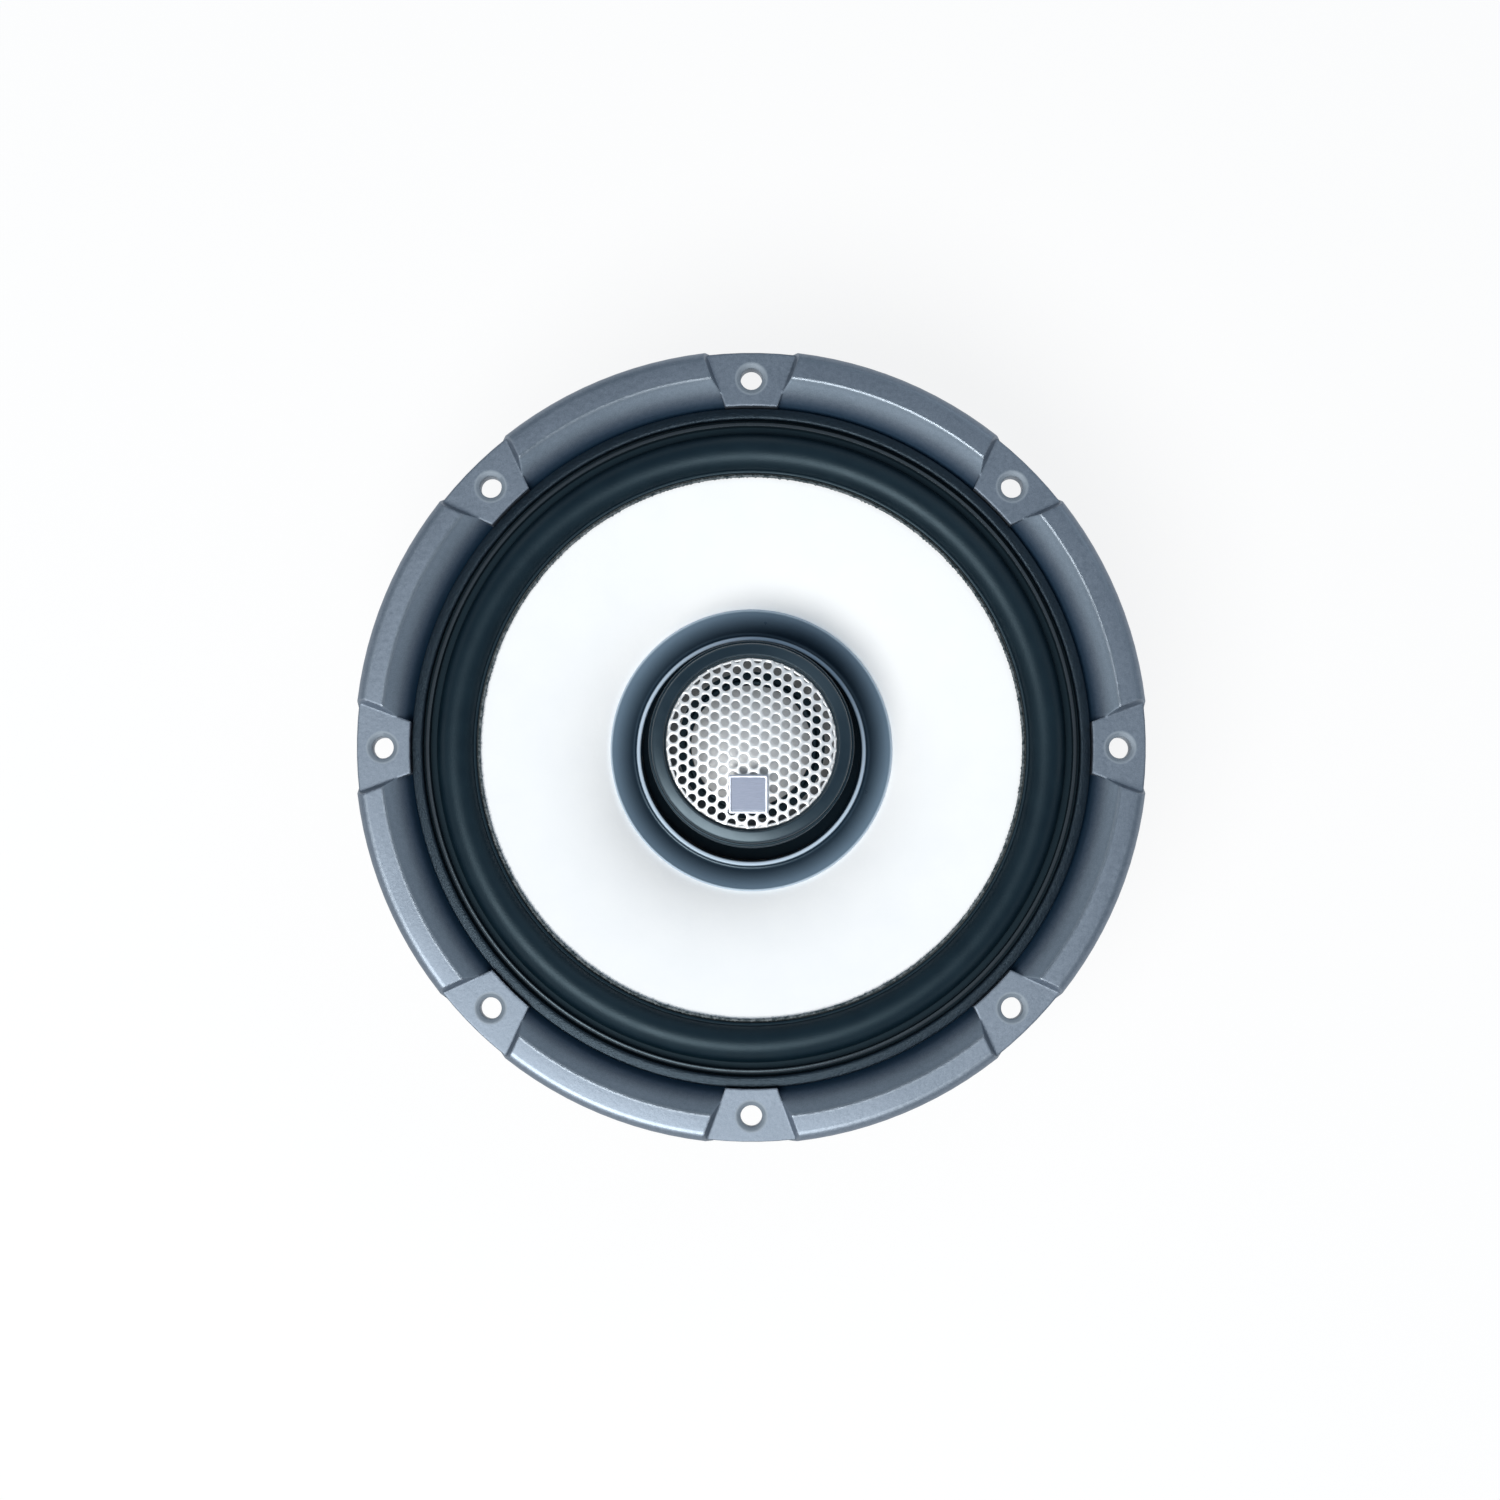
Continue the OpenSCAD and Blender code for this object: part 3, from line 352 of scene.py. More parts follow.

# the crowned slope inside the rim: painted highlight high up, painted dark blue shade at its foot
on_slope = r.ramp(LAND_IN, LAND_IN - 0.0003) * r.ramp(THROAT_R - 0.0005, THROAT_R)
on_slope = on_slope * tilt.ramp(0.95, 0.9) * tilt.ramp(0.3, 0.45) * z.ramp(SLOPE_Z, SLOPE_Z + 0.0002)
slope_highlight = on_slope * r.ramp(SLOPE_MID, SLOPE_HEAD)
slope_foot_shade = on_slope * r.ramp(SLOPE_HEAD, SLOPE_FOOT)
coat = paint.mix(slope_highlight, coat, paint.mix(shade, (0.17, 0.218, 0.27), (0.255, 0.31, 0.375)))
coat = paint.mix(slope_foot_shade * 0.92, coat, (0.002, 0.048, 0.115))

# the rim's two crests, lighter in colour: partly rubbed wear, partly painted highlight
inner_crest = 1 - (r - (LAND_IN + 0.0001)).size().ramp(CREST_WIDE, CREST_FADE)
outer_crest = 1 - (r - (LAND_OUT + 0.0002)).size().ramp(CREST_WIDE, CREST_FADE)
crest = (inner_crest + 0.45 * outer_crest).clamped() * z.ramp(CREST_Z, CREST_Z + 0.0003)
coat = paint.mix(crest * 0.4, coat, HIGHLIGHT_COLOUR)
# a painted highlight in a ring round each screw hole
aside = angle.math("PINGPONG", math.pi / 8)
from_hole = (r * r + HOLE_AT * HOLE_AT - 2 * HOLE_AT * r * aside.cosine()) ** 0.5
hole_highlight = from_hole.ramp(HOLE_HIGHLIGHT_R + 0.0004, HOLE_HIGHLIGHT_R) * z.ramp(PAD_Z - 0.0006, PAD_Z)
coat = paint.mix(hole_highlight * 0.7, coat, HIGHLIGHT_COLOUR)
paint.set(
    Base_Color=coat,
    Roughness=0.41 + 0.1 * cast + 0.05 * flake + 0.14 * on_slope - 0.17 * crest + 0.22 * hole_highlight,
)
paint.bump(cast, 0.00006, 0.5)
paint.bump(flake, 0.00002, 0.5)


def piece(name, form, crease=50, mesh=None):
    """Turns a worked mesh into a smooth-shaded object whose edges past the crease stay sharp."""
    mesh = mesh or bpy.data.meshes.new(name)
    form.to_mesh(mesh)
    form.free()
    if "custom_normal" in mesh.attributes:
        mesh.attributes.remove(mesh.attributes["custom_normal"])
    for face in mesh.polygons:
        face.use_smooth = True
    mesh.set_sharp_from_angle(angle=math.radians(crease))
    made = bpy.data.objects.new(name, mesh)
    scene.collection.objects.link(made)
    return made


# the CAD node's own shape as one welded mesh, so that its curves shade smoothly
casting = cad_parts["basket"]
form = bmesh.new()
form.from_mesh(casting.data)
bmesh.ops.transform(form, matrix=casting.matrix_world, verts=form.verts)
bmesh.ops.remove_doubles(form, verts=form.verts, dist=1e-6)
bmesh.ops.recalc_face_normals(form, faces=form.faces)
basket = piece("cast_frame", form, 32)
basket.data.materials.append(paint.material)
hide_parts("basket")
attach(basket, "frame")

# ---------------------------------------------------------------- motor screws
# Four zinc-plated pan-head screws with cross recesses, driven through the frame's floor
# into the front plate. One blank is turned, and a tree cuts its recess and sets the copies.
class Build(Graph):
    """A Geometry Nodes tree with named sizes; its result is kept as a plain object."""

    def __init__(self, name, **sizes):
        self.name, self.sizes = name, sizes
        super().__init__(bpy.data.node_groups.new(name, "GeometryNodeTree"))
        interface = self.tree.interface
        interface.new_socket("Shape", in_out="OUTPUT", socket_type="NodeSocketGeometry")
        interface.new_socket("Shape", in_out="INPUT", socket_type="NodeSocketGeometry")
        for key, value in sizes.items():
            kind = "NodeSocketInt" if isinstance(value, int) else "NodeSocketFloat"
            interface.new_socket(key, in_out="INPUT", socket_type=kind)
        self.given = self.node("NodeGroupInput")

    def place(self):
        return self.parts(self.node("GeometryNodeInputPosition")[0])

    def moved(self, shape, x, y, z):
        place = self.point(x, y, z)
        return self.node("GeometryNodeSetPosition", {}, {"Geometry": shape, "Position": place})[0]

    def shifted(self, shape, x, y, z):
        place = self.point(x, y, z)
        return self.node("GeometryNodeTransform", {}, {"Geometry": shape, "Translation": place})[0]

    def ring_of_points(self, count, radius):
        return self.node("GeometryNodeMeshCircle", {}, {"Vertices": count, "Radius": radius})[0]

    def circle(self, points, radius):
        sockets = {"Resolution": points, "Radius": radius}
        return self.node("GeometryNodeCurvePrimitiveCircle", {}, sockets)[0]

    def swept(self, path, points, radius, capped=False):
        """A round bar along a path."""
        sockets = {"Curve": path, "Profile Curve": self.circle(points, radius), "Fill Caps": capped}
        return self.node("GeometryNodeCurveToMesh", {}, sockets)[0]

    def copied(self, shape, points, **sockets):
        sockets = {"Points": points, "Instance": shape, **sockets}
        return self.node("GeometryNodeInstanceOnPoints", {}, sockets)[0]

    def grid(self, across, along):
        return self.node("GeometryNodeMeshGrid", {}, {"Vertices X": across, "Vertices Y": along})[0]

    def random(self, low, high, seed):
        sockets = {2: low, 3: high, "Seed": seed}
        return self.node("FunctionNodeRandomValue", {"data_type": "FLOAT"}, sockets)[1]

    def welded(self, shape, distance=1e-6):
        sockets = {"Geometry": shape, "Distance": distance}
        return self.node("GeometryNodeMergeByDistance", {}, sockets)[0]

    def joined(self, *shapes):
        return self.node("GeometryNodeJoinGeometry", {}, {"Geometry": list(shapes)})[0]

    def realized(self, shape):
        return self.node("GeometryNodeRealizeInstances", {}, {"Geometry": shape})[0]

    def finished(self, shape, finish, start=None, crease=40):
        """Ends the tree with the shape, runs it on a start mesh and returns the plain result."""
        coated = {"Geometry": self.realized(shape), "Material": finish.material}
        self.node("NodeGroupOutput", {}, {0: self.node("GeometryNodeSetMaterial", {}, coated)[0]})
        start = start or bpy.data.meshes.new(self.name + "_start")
        worker = bpy.data.objects.new(self.name + "_start", start)
        scene.collection.objects.link(worker)
        run = worker.modifiers.new(self.name, "NODES")
        run.node_group = self.tree
        for item in self.tree.interface.items_tree:
            if item.in_out == "INPUT" and item.name in self.sizes:
                run[item.identifier] = self.sizes[item.name]
        result = worker.evaluated_get(bpy.context.evaluated_depsgraph_get())
        plain = bpy.data.meshes.new_from_object(result)
        plain.name = self.name
        bpy.data.objects.remove(worker)
        form = bmesh.new()
        form.from_mesh(plain)
        bmesh.ops.recalc_face_normals(form, faces=form.faces)
        return piece(self.name, form, crease, plain)


zinc = Finish("zinc_plate", (0.62, 0.62, 0.6), 0.32, Metallic=1.0)
zinc.round_edges(0.00015)
haze = zinc.noise(700, 4)
zinc.set(
    Base_Color=zinc.mix(haze, (0.5, 0.51, 0.52), (0.74, 0.73, 0.68)),
    Roughness=0.22 + 0.25 * haze,
)
zinc.bump(zinc.noise(4000, 2), 0.00002)
zinc.coat("board_rivets", "capacitor_leads")


def turned_form(outline, around):
    """A worked mesh made by turning a closed outline of (radius, height) about the axis."""
    form = bmesh.new()
    rings = []
    for radius, height in outline:
        if radius < 1e-7:
            rings.append([form.verts.new((0, 0, height))] * around)
            continue
        turns = [math.tau * i / around for i in range(around)]
        rings.append([form.verts.new((radius * math.cos(t), radius * math.sin(t), height)) for t in turns])
    for a, b in zip(rings, rings[1:] + rings[:1]):
        for i in range(around):
            j = (i + 1) % around
            corners = [a[i], a[j], b[j], b[i]]
            corners = [v for n, v in enumerate(corners) if v not in corners[:n]]
            if len(corners) > 2:
                form.faces.new(corners)
    bmesh.ops.recalc_face_normals(form, faces=form.faces)
    return form


def mm(*points):
    """Points given in millimetres, as metres."""
    return [(r / 1000, z / 1000) for r, z in points]


SHANK_R, HEAD_R = 2, 3.8
TIP, SEAT, HEAD_TOP = 20.6, 28, 30.2
blank = bpy.data.meshes.new("screw_blank")
form = turned_form(
    mm((0, TIP), (SHANK_R - 0.3, TIP), (SHANK_R, TIP + 0.3), (SHANK_R, SEAT), (HEAD_R, SEAT))
    + mm((HEAD_R, 29.1), (3.65, 29.5), (3.2, 29.9), (2.5, 30.12), (1.6, HEAD_TOP), (0, HEAD_TOP)),
    40,
)
form.to_mesh(blank)
form.free()
screws = Build("motor_screw_set", Count=4, Circle=0.033, Slot=0.0009, Reach=0.0042, Floor=0.0290)
given = screws.given
CUTTER_H = 0.002
cutters = []
for width, length in ((given["Reach"], given["Slot"]), (given["Slot"], given["Reach"])):
    bar = screws.node("GeometryNodeMeshCube", {}, {"Size": screws.point(width, length, CUTTER_H)})[0]
    cutters.append(screws.shifted(bar, 0, 0, given["Floor"] + CUTTER_H / 2))
crossed = {0: given["Shape"], 1: cutters}
cut = screws.node("GeometryNodeMeshBoolean", {"operation": "DIFFERENCE"}, crossed)[0]
spots = screws.ring_of_points(given["Count"], given["Circle"])
motor_screws = screws.finished(screws.copied(cut, spots), zinc, blank)
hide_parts("motor_screws")
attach(motor_screws, "frame")

# ---------------------------------------------------------------- voice coil
# A wound copper coil on a thin amber film former. The turns lie side by side, and
# the former's top is bonded into the cone's neck.
film = Finish("amber_film", (0.55, 0.32, 0.08), 0.3, Coat_Weight=0.3)
band = film.noise(300, 3)
film.set(
    Base_Color=film.mix(band, (0.42, 0.22, 0.05), (0.62, 0.37, 0.11)),
    Roughness=0.25 + 0.2 * band,
)
film.bump(film.noise(2500, 2), 0.00002)
film.coat("voice_coil_former")

WIRE = 0.00022
copper = Finish("copper_turns", (0.72, 0.3, 0.14), 0.3, Metallic=0.9)
turn = (copper.parts(copper.place)[2] * (math.tau / WIRE)).sine()
stain = copper.noise(500, 3)
copper.set(
    Base_Color=copper.mix(stain, (0.55, 0.2, 0.09), (0.8, 0.38, 0.2)),
    Roughness=0.25 + 0.2 * stain,
)
copper.bump(turn * 0.5 + 0.5, 0.00005)
copper.coat("voice_coil_winding", "tweeter_coil")

# ---------------------------------------------------------------- spider
# A disc of open cotton weave, dipped in resin and hot pressed into round waves. Its
# outer edge is glued to the frame's shelf and its neck to the former.
def turned(name, outline, around):
    """A smooth piece made by turning a closed outline about the axis."""
    return piece(name, turned_form(outline, around))


def flexing(made, fixed_body, moving_body, fixed_r, moving_r, height):
    """Lets a ring flex between two bodies: still at fixed_r, with the moving body at moving_r."""
    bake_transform(made, fixed_body, moving_body, start=(fixed_r, 0, height), end=(moving_r, 0, height))
    share = made.data.attributes["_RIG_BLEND"].data
    for vertex, item in zip(made.data.vertices, share):
        r = math.hypot(vertex.co.x, vertex.co.y)
        t = min(1.0, max(0.0, (fixed_r - r) / (fixed_r - moving_r)))
        item.value = t * t * (3 - 2 * t)


SPIDER_WAVES = 6
SPIDER_RISE = 0.0011
SPIDER_CLOTH = 0.00045
(low, high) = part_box("spider")
shelf = low[2] + SPIDER_RISE
neck_r, rim_r = 0.0179, high[0] - 0.0001
first, last = neck_r + 0.0025, 0.0428


def spider_height(r):
    if r < first or r > last:
        return shelf
    return shelf + SPIDER_RISE * math.sin(math.tau * SPIDER_WAVES * (r - first) / (last - first))


steps = [neck_r + (rim_r - neck_r) * i / 220 for i in range(221)]
top = [(r, spider_height(r) + SPIDER_CLOTH / 2) for r in steps if r > neck_r + 0.0006]
bottom = [(r, spider_height(r) - SPIDER_CLOTH / 2) for r in steps]
neck = [(neck_r + 0.0005, shelf + 0.0004), (neck_r + 0.0005, shelf + 0.0019), (neck_r, shelf + 0.0019)]
spider = turned("spider_disc", bottom + top[::-1] + neck, 288)
cloth = Finish("resin_cloth", (0.62, 0.47, 0.2), 0.75)
THREAD = 0.00075
x, y = cloth.parts(cloth.place)[:2]
warp = (x * (math.tau / THREAD)).sine()
weft = (y * (math.tau / THREAD)).sine()
weave = (warp * weft * 0.5 + 0.5) * 0.6 + (warp.size() * weft.size()) * 0.4
tint = cloth.noise(60, 3)
cloth.set(
    Base_Color=cloth.mix((weave * 0.6 + tint * 0.4).clamped(), (0.46, 0.33, 0.12), (0.86, 0.69, 0.34)),
    Roughness=0.6 + 0.25 * weave,
)
cloth.bump(weave, 0.00022)
spider.data.materials.append(cloth.material)
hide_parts("spider")
flexing(spider, "frame", "cone_assembly", 0.0432, 0.0185, shelf)

# ---------------------------------------------------------------- cone
# A white moulded cone, steep at the neck and shallow at its edge, with a satin face. Its
# neck is coloured near-black as painted shade round the tweeter, and from just inside its
# edge bead out to its rim it is coloured dark grey.
CONE_R = 0.0585
CONE_NECK_R = 0.0178
CONE_EDGE_Z = 0.05965
CONE_DEPTH = 0.01705
CONE_STRAIGHT = 0.36
CONE_WALL = 0.0007
NECK_SHADE_R = 0.0242
DARK_STRIP_R = 0.0572


def cone_front(r):
    u = (CONE_R - r) / (CONE_R - CONE_NECK_R)
    return CONE_EDGE_Z - CONE_DEPTH * (CONE_STRAIGHT * u + (1 - CONE_STRAIGHT) * u**4)


def cone_slope(r):
    u = (CONE_R - r) / (CONE_R - CONE_NECK_R)
    return CONE_DEPTH / (CONE_R - CONE_NECK_R) * (CONE_STRAIGHT + 4 * (1 - CONE_STRAIGHT) * u**3)


def lifted(r, gap):
    """The point at radius r, gap above the cone's front face as measured square to it."""
    return r, cone_front(r) + gap * math.sqrt(1 + cone_slope(r) ** 2)


inner, flat = CONE_NECK_R + 0.00005, CONE_R - 0.002
steps = [inner + (flat - inner) * i / 96 for i in range(97)]
cone = turned(
    "cone_shell",
    [lifted(r, 0) for r in steps]
    + [(CONE_R, CONE_EDGE_Z), (CONE_R, CONE_EDGE_Z - CONE_WALL)]
    + [lifted(r, -CONE_WALL) for r in steps[::-1]],
    320,
)
white_skin = Finish("white_cone", (0.9, 0.92, 0.94), 0.6, Specular_IOR_Level=0.2)
flow = white_skin.noise(120, 3)
r = white_skin.polar()[0]
# the neck's near-black colour is painted shade, deep round the tweeter
neck_shade = r.ramp(NECK_SHADE_R + 0.0004, NECK_SHADE_R)
# from just inside the edge bead out to the rim, the cone is coloured dark grey
dark_strip = r.ramp(DARK_STRIP_R, DARK_STRIP_R + 0.0002)
skin = white_skin.mix(flow, (0.9, 0.915, 0.93), (0.95, 0.96, 0.965))
skin = white_skin.mix(dark_strip, skin, (0.07, 0.085, 0.09))
white_skin.set(
    Base_Color=white_skin.mix(neck_shade, skin, (0.006, 0.014, 0.022)),
    Roughness=0.55 + 0.15 * flow - 0.2 * neck_shade,
)
white_skin.bump(white_skin.noise(900, 2), 0.00002)
cone.data.materials.append(white_skin.material)
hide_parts("cone")
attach(cone, "cone_assembly")

# ---------------------------------------------------------------- collar
# A dark glossy funnel bonded over the cone round the tweeter. Its inner edge is rolled
# over into a lip. Its colour carries painted light: painted shade near the lip, lightening to a
# painted blue-grey reflection outward, and painted highlights on the lip and the outer edge.
COLLAR_R = 0.0300
COLLAR_WALL = 0.0008
BOND = 0.00005
LIP_R = 0.0242
LIP_ROLL = 0.0009


def arc(centre, radius, start, end, steps):
    """Points of an arc in the plane of radius and height, angles in degrees."""
    return [
        (
            centre[0] + radius * math.cos(math.radians(start + (end - start) * i / steps)),
            centre[1] + radius * math.sin(math.radians(start + (end - start) * i / steps)),
        )
        for i in range(steps + 1)
    ]


lip_mid = lifted(LIP_R, LIP_ROLL + 0.0001)
steps = [LIP_R + 0.0004 + (COLLAR_R - LIP_R - 0.0004) * i / 28 for i in range(29)]
collar = turned(
    "collar_funnel",
    [lifted(r, BOND) for r in steps]
    + [lifted(COLLAR_R, 0.0003)]
    + arc(lifted(COLLAR_R - 0.00035, 0.0005), 0.00035, 20, 110, 6)
    + [lifted(r, COLLAR_WALL) for r in steps[-3:3:-1]]
    + arc(lip_mid, LIP_ROLL, 40, 300, 30),
    320,
)
gloss = Finish(
    "shaded_lacquer", (0.1, 0.14, 0.18), 0.3, Specular_IOR_Level=0.6, Specular_Tint=(0.65, 0.85, 1.0, 1)
)
FADE_IN, FADE_OUT = 0.0244, 0.0290
swirl = gloss.noise(260, 3)
r = gloss.polar()[0]
# painted shade near-black by the lip, lightening outward to a painted reflection; painted highlights on lip
# and edge
depth = (r - FADE_IN) / (FADE_OUT - FADE_IN)
shade_fade = (depth.clamped() ** 1.35 + 0.05 * (swirl - 0.5)).clamped()
lip = (r - (LIP_R - 0.0001)).size().ramp(0.00052, 0.00016)
edge = r.ramp(COLLAR_R - 0.00065, COLLAR_R)
funnel = gloss.mix(shade_fade, (0.001, 0.01, 0.022), (0.15, 0.22, 0.295))
funnel = gloss.mix(edge, funnel, (0.5, 0.59, 0.68))
gloss.set(
    Base_Color=gloss.mix(lip, funnel, (0.55, 0.67, 0.8)),
    Roughness=0.24 + 0.12 * swirl,
)
gloss.bump(gloss.noise(1500, 2), 0.000015)
gloss.bump(gloss.turned_marks(2600, 3), 0.00001)
collar.data.materials.append(gloss.material)
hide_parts("cone_collar")
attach(collar, "cone_assembly")

# ---------------------------------------------------------------- surround
# Moulded butyl rubber: a half roll between the cone's edge and a flat outer flange, which
# has a fine raised ridge and is glued to the frame's ledge.
RUBBER = 0.0007
ROLL_MID = 0.06205
ROLL_R = 0.0041
ROLL_Z = 0.0589
FLANGE_LOW, FLANGE_TOP = 0.0582, 0.0590
FLANGE_OUT = 0.07125
FOOT_R = 0.0577
RIDGE_IN, RIDGE_OUT, RIDGE_TOP = 0.0675, 0.0683, 0.0607
VALLEY_R = 0.0661
foot_z = CONE_EDGE_Z + BOND
foot = math.degrees(math.asin((foot_z + RUBBER - ROLL_Z) / ROLL_R))
foot_in = math.degrees(math.asin((foot_z - ROLL_Z) / (ROLL_R - RUBBER)))
surround = turned(
    "rubber_surround",
    arc((ROLL_MID, ROLL_Z), ROLL_R, 2, 180 - foot, 48)
    + [(FOOT_R + 0.0001, foot_z + RUBBER), (FOOT_R, foot_z + RUBBER - 0.0001), (FOOT_R, foot_z)]
    + arc((ROLL_MID, ROLL_Z), ROLL_R - RUBBER, 180 - foot_in, 0, 40)
    + [(ROLL_MID + ROLL_R - RUBBER, FLANGE_LOW), (FLANGE_OUT, FLANGE_LOW), (FLANGE_OUT, FLANGE_TOP)]
    + [(RIDGE_OUT + 0.0001, FLANGE_TOP), (RIDGE_OUT, RIDGE_TOP - 0.00028)]
    + [(RIDGE_OUT - 0.0001, RIDGE_TOP - 0.00013), (RIDGE_IN + 0.0002, RIDGE_TOP - 0.00002)]
    + [(RIDGE_IN + 0.00008, RIDGE_TOP - 0.00005), (RIDGE_IN - 0.0001, FLANGE_TOP)]
    + [(ROLL_MID + ROLL_R + 0.0001, FLANGE_TOP)],
    320,
)
rubber = Finish(
    "butyl_rubber", (0.003, 0.012, 0.02), 0.38, Specular_IOR_Level=0.42, Specular_Tint=(0.6, 0.84, 1.0, 1)
)
bloom = rubber.noise(220, 4)
r, _, z = rubber.polar()
on_ridge = r.ramp(RIDGE_IN - 0.0001, RIDGE_IN + 0.0001) * z.ramp(RIDGE_TOP - 0.0007, RIDGE_TOP - 0.0002)
in_valley = r.ramp(VALLEY_R - 0.0003, VALLEY_R) * z.ramp(RIDGE_TOP - 0.0004, RIDGE_TOP - 0.0010)
skin = rubber.mix(bloom, (0.0005, 0.005, 0.01), (0.003, 0.012, 0.019))
# the ridge's slightly lighter base colour is a painted highlight along it
rubber.set(
    Base_Color=rubber.mix(on_ridge, skin, (0.03, 0.036, 0.042)),
    Roughness=0.36 + 0.14 * bloom + 0.3 * in_valley - 0.17 * on_ridge,
)
rubber.bump(rubber.noise(2600, 3), 0.00003)
surround.data.materials.append(rubber.material)
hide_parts("surround")
flexing(surround, "frame", "cone_assembly", 0.0661, 0.0580, ROLL_Z)

# ---------------------------------------------------------------- gasket ring
# A ring of dense fibre board that clamps the surround's flange, dark and rough, with
# rounded corners.
(low, high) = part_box("gasket_ring")
band_in, band_out, band_low, band_top = 0.0689, high[0], low[2], high[2]
BAND_CROWN, BAND_LEAN = 0.00021, 15
ROUND_IN, ROUND_OUT = 0.0006, 0.0003
flat_in, flat_out = band_in + ROUND_IN, band_out - ROUND_OUT
crown = [(i / 8, band_top - BAND_CROWN * (i / 8) ** 2) for i in range(7, 0, -1)]
gasket = turned(
    "gasket_band",
    [(band_in, band_low), (band_out, band_low)]
    + arc((flat_out, band_top - BAND_CROWN - ROUND_OUT), ROUND_OUT, 0, 90 - BAND_LEAN, 8)
    + [(flat_in + (flat_out - flat_in) * share, height) for share, height in crown]
    + arc((flat_in, band_top - ROUND_IN), ROUND_IN, 90, 180, 8),
    320,
)
fibre = Finish(
    "gasket_fibre", (0.01, 0.02, 0.03), 0.37, Specular_IOR_Level=0.56, Specular_Tint=(0.57, 0.79, 1.0, 1)
)
strand = fibre.turned_marks(2600, 60)
pit = fibre.noise(2400, 4, 0.7)
pale = (strand * 0.6 + pit * 0.4).ramp(0.35, 0.7)
fibre.set(
    Base_Color=fibre.mix(pale, (0.0001, 0.001, 0.002), (0.002, 0.006, 0.011)),
    Roughness=0.24 + 0.26 * pit,
)
fibre.bump(strand * 0.4 + pit * 0.6, 0.00016)
gasket.data.materials.append(fibre.material)
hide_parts("gasket_ring")
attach(gasket, "frame")

# ---------------------------------------------------------------- edge bead
# A bead of adhesive run round the surround's inner edge, where the cone meets it. The
# nozzle's even pulses leave it as a string of small drops.
glue = Finish(
    "grey_adhesive", (0.05, 0.07, 0.08), 0.55, Specular_IOR_Level=0.25, Specular_Tint=(0.7, 0.88, 1.0, 1)
)
lump = glue.noise(900, 3)
glue.set(
    Base_Color=glue.mix(lump.ramp(0.3, 0.7), (0.02, 0.034, 0.04), (0.17, 0.19, 0.2)),
    Roughness=0.4 + 0.3 * lump,
)
glue.bump(lump, 0.00008)
bead = Build("adhesive_bead", Drops=420, Circle=0.05713, Drop_Size=0.00037, Height=0.05995, Seed=11)
given = bead.given
spots = bead.ring_of_points(given["Drops"], given["Circle"])
x, y, _ = bead.place()
jitter = bead.random(0.9988, 1.0012, given["Seed"])
spots = bead.moved(spots, x * jitter, y * jitter, given["Height"])
ball = {"Segments": 8, "Rings": 5, "Radius": given["Drop_Size"]}
drop = bead.node("GeometryNodeMeshUVSphere", {}, ball)[0]
swell = bead.random(0.85, 1.12, given["Seed"] + 5)
drops = bead.copied(drop, spots, Scale=bead.point(swell, swell, 0.95 + 0.1 * swell))
circle = bead.shifted(bead.circle(256, given["Circle"]), 0, 0, given["Height"])
core = bead.swept(circle, 8, given["Drop_Size"] * 0.72)
adhesive_bead = bead.finished(bead.joined(drops, core), glue, crease=75)
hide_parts("edge_bead")
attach(adhesive_bead, "cone_assembly")

# ---------------------------------------------------------------- leads
# Two tinsel leads, each a rope of fine strands that hangs in a loop from the terminal
# board to an eyelet under the cone, and flexes with it.
tin = Finish("tinned_brass", (0.72, 0.66, 0.5), 0.3, Metallic=1.0)
tin.round_edges(0.00012)
tarnish = tin.noise(420, 4)
tin.set(
    Base_Color=tin.mix(tarnish.ramp(0.3, 0.7), (0.6, 0.52, 0.34), (0.8, 0.77, 0.66)),
    Roughness=0.24 + 0.22 * tarnish,
)
tin.bump(tin.noise(3500, 2), 0.00002)
tin.coat("lead_eyelets", "spade_positive", "spade_negative", "spade_rivets")
braid = Finish("lead_braid", (0.6, 0.5, 0.32), 0.42, Metallic=0.8)
fibres = braid.noise(3200, 4, 0.6)
braid.set(
    Base_Color=braid.mix(fibres, (0.42, 0.33, 0.18), (0.74, 0.64, 0.44)),
    Roughness=0.34 + 0.25 * fibres,
)
braid.bump(fibres, 0.00006)
LEAD_X = 0.0075
LEAD_SAG = 0.004
LEAD_POINTS = 41
ANCHOR_R = COLLAR_R - 0.002
EYELET_R = ANCHOR_R + 0.0016
EYELET_DROP = 0.00275

# each lead hangs in a plane of its own at LEAD_X, as an arc between these places (y, z)
lead_from = Vector((-0.0505, 0.0422))
lead_to = Vector((-ANCHOR_R, lifted(EYELET_R, -CONE_WALL)[1] - EYELET_DROP))
span = (lead_to - lead_from).length
loop_r = (span * span / 4 + LEAD_SAG * LEAD_SAG) / (2 * LEAD_SAG)
along = (lead_to - lead_from) / span
hub = (lead_from + lead_to) / 2 + Vector((-along.y, along.x)) * (loop_r - LEAD_SAG)
first_turn = math.atan2(lead_from.y - hub.y, lead_from.x - hub.x)
last_turn = math.atan2(lead_to.y - hub.y, lead_to.x - hub.x)
paths = bpy.data.meshes.new("lead_paths")
path_points, path_edges = [], []
for side in (-1, 1):
    for i in range(LEAD_POINTS):
        turn = first_turn + (last_turn - first_turn) * i / (LEAD_POINTS - 1)
        spot = hub + loop_r * Vector((math.cos(turn), math.sin(turn)))
        path_points.append((side * LEAD_X, spot.x, spot.y))
        if i:
            path_edges.append((len(path_points) - 2, len(path_points) - 1))
paths.from_pydata(path_points, path_edges, [])
rope = Build("tinsel_rope", Strands=5, Strand_Size=0.00021, Wind_Size=0.00026, Turns=11.0)
given = rope.given
line = rope.node("GeometryNodeMeshToCurve", {}, {0: given["Shape"]})[0]
line = rope.node("GeometryNodeResampleCurve", {}, {"Curve": line, "Count": 150})[0]
copies = {"Geometry": line, "Amount": given["Strands"]}
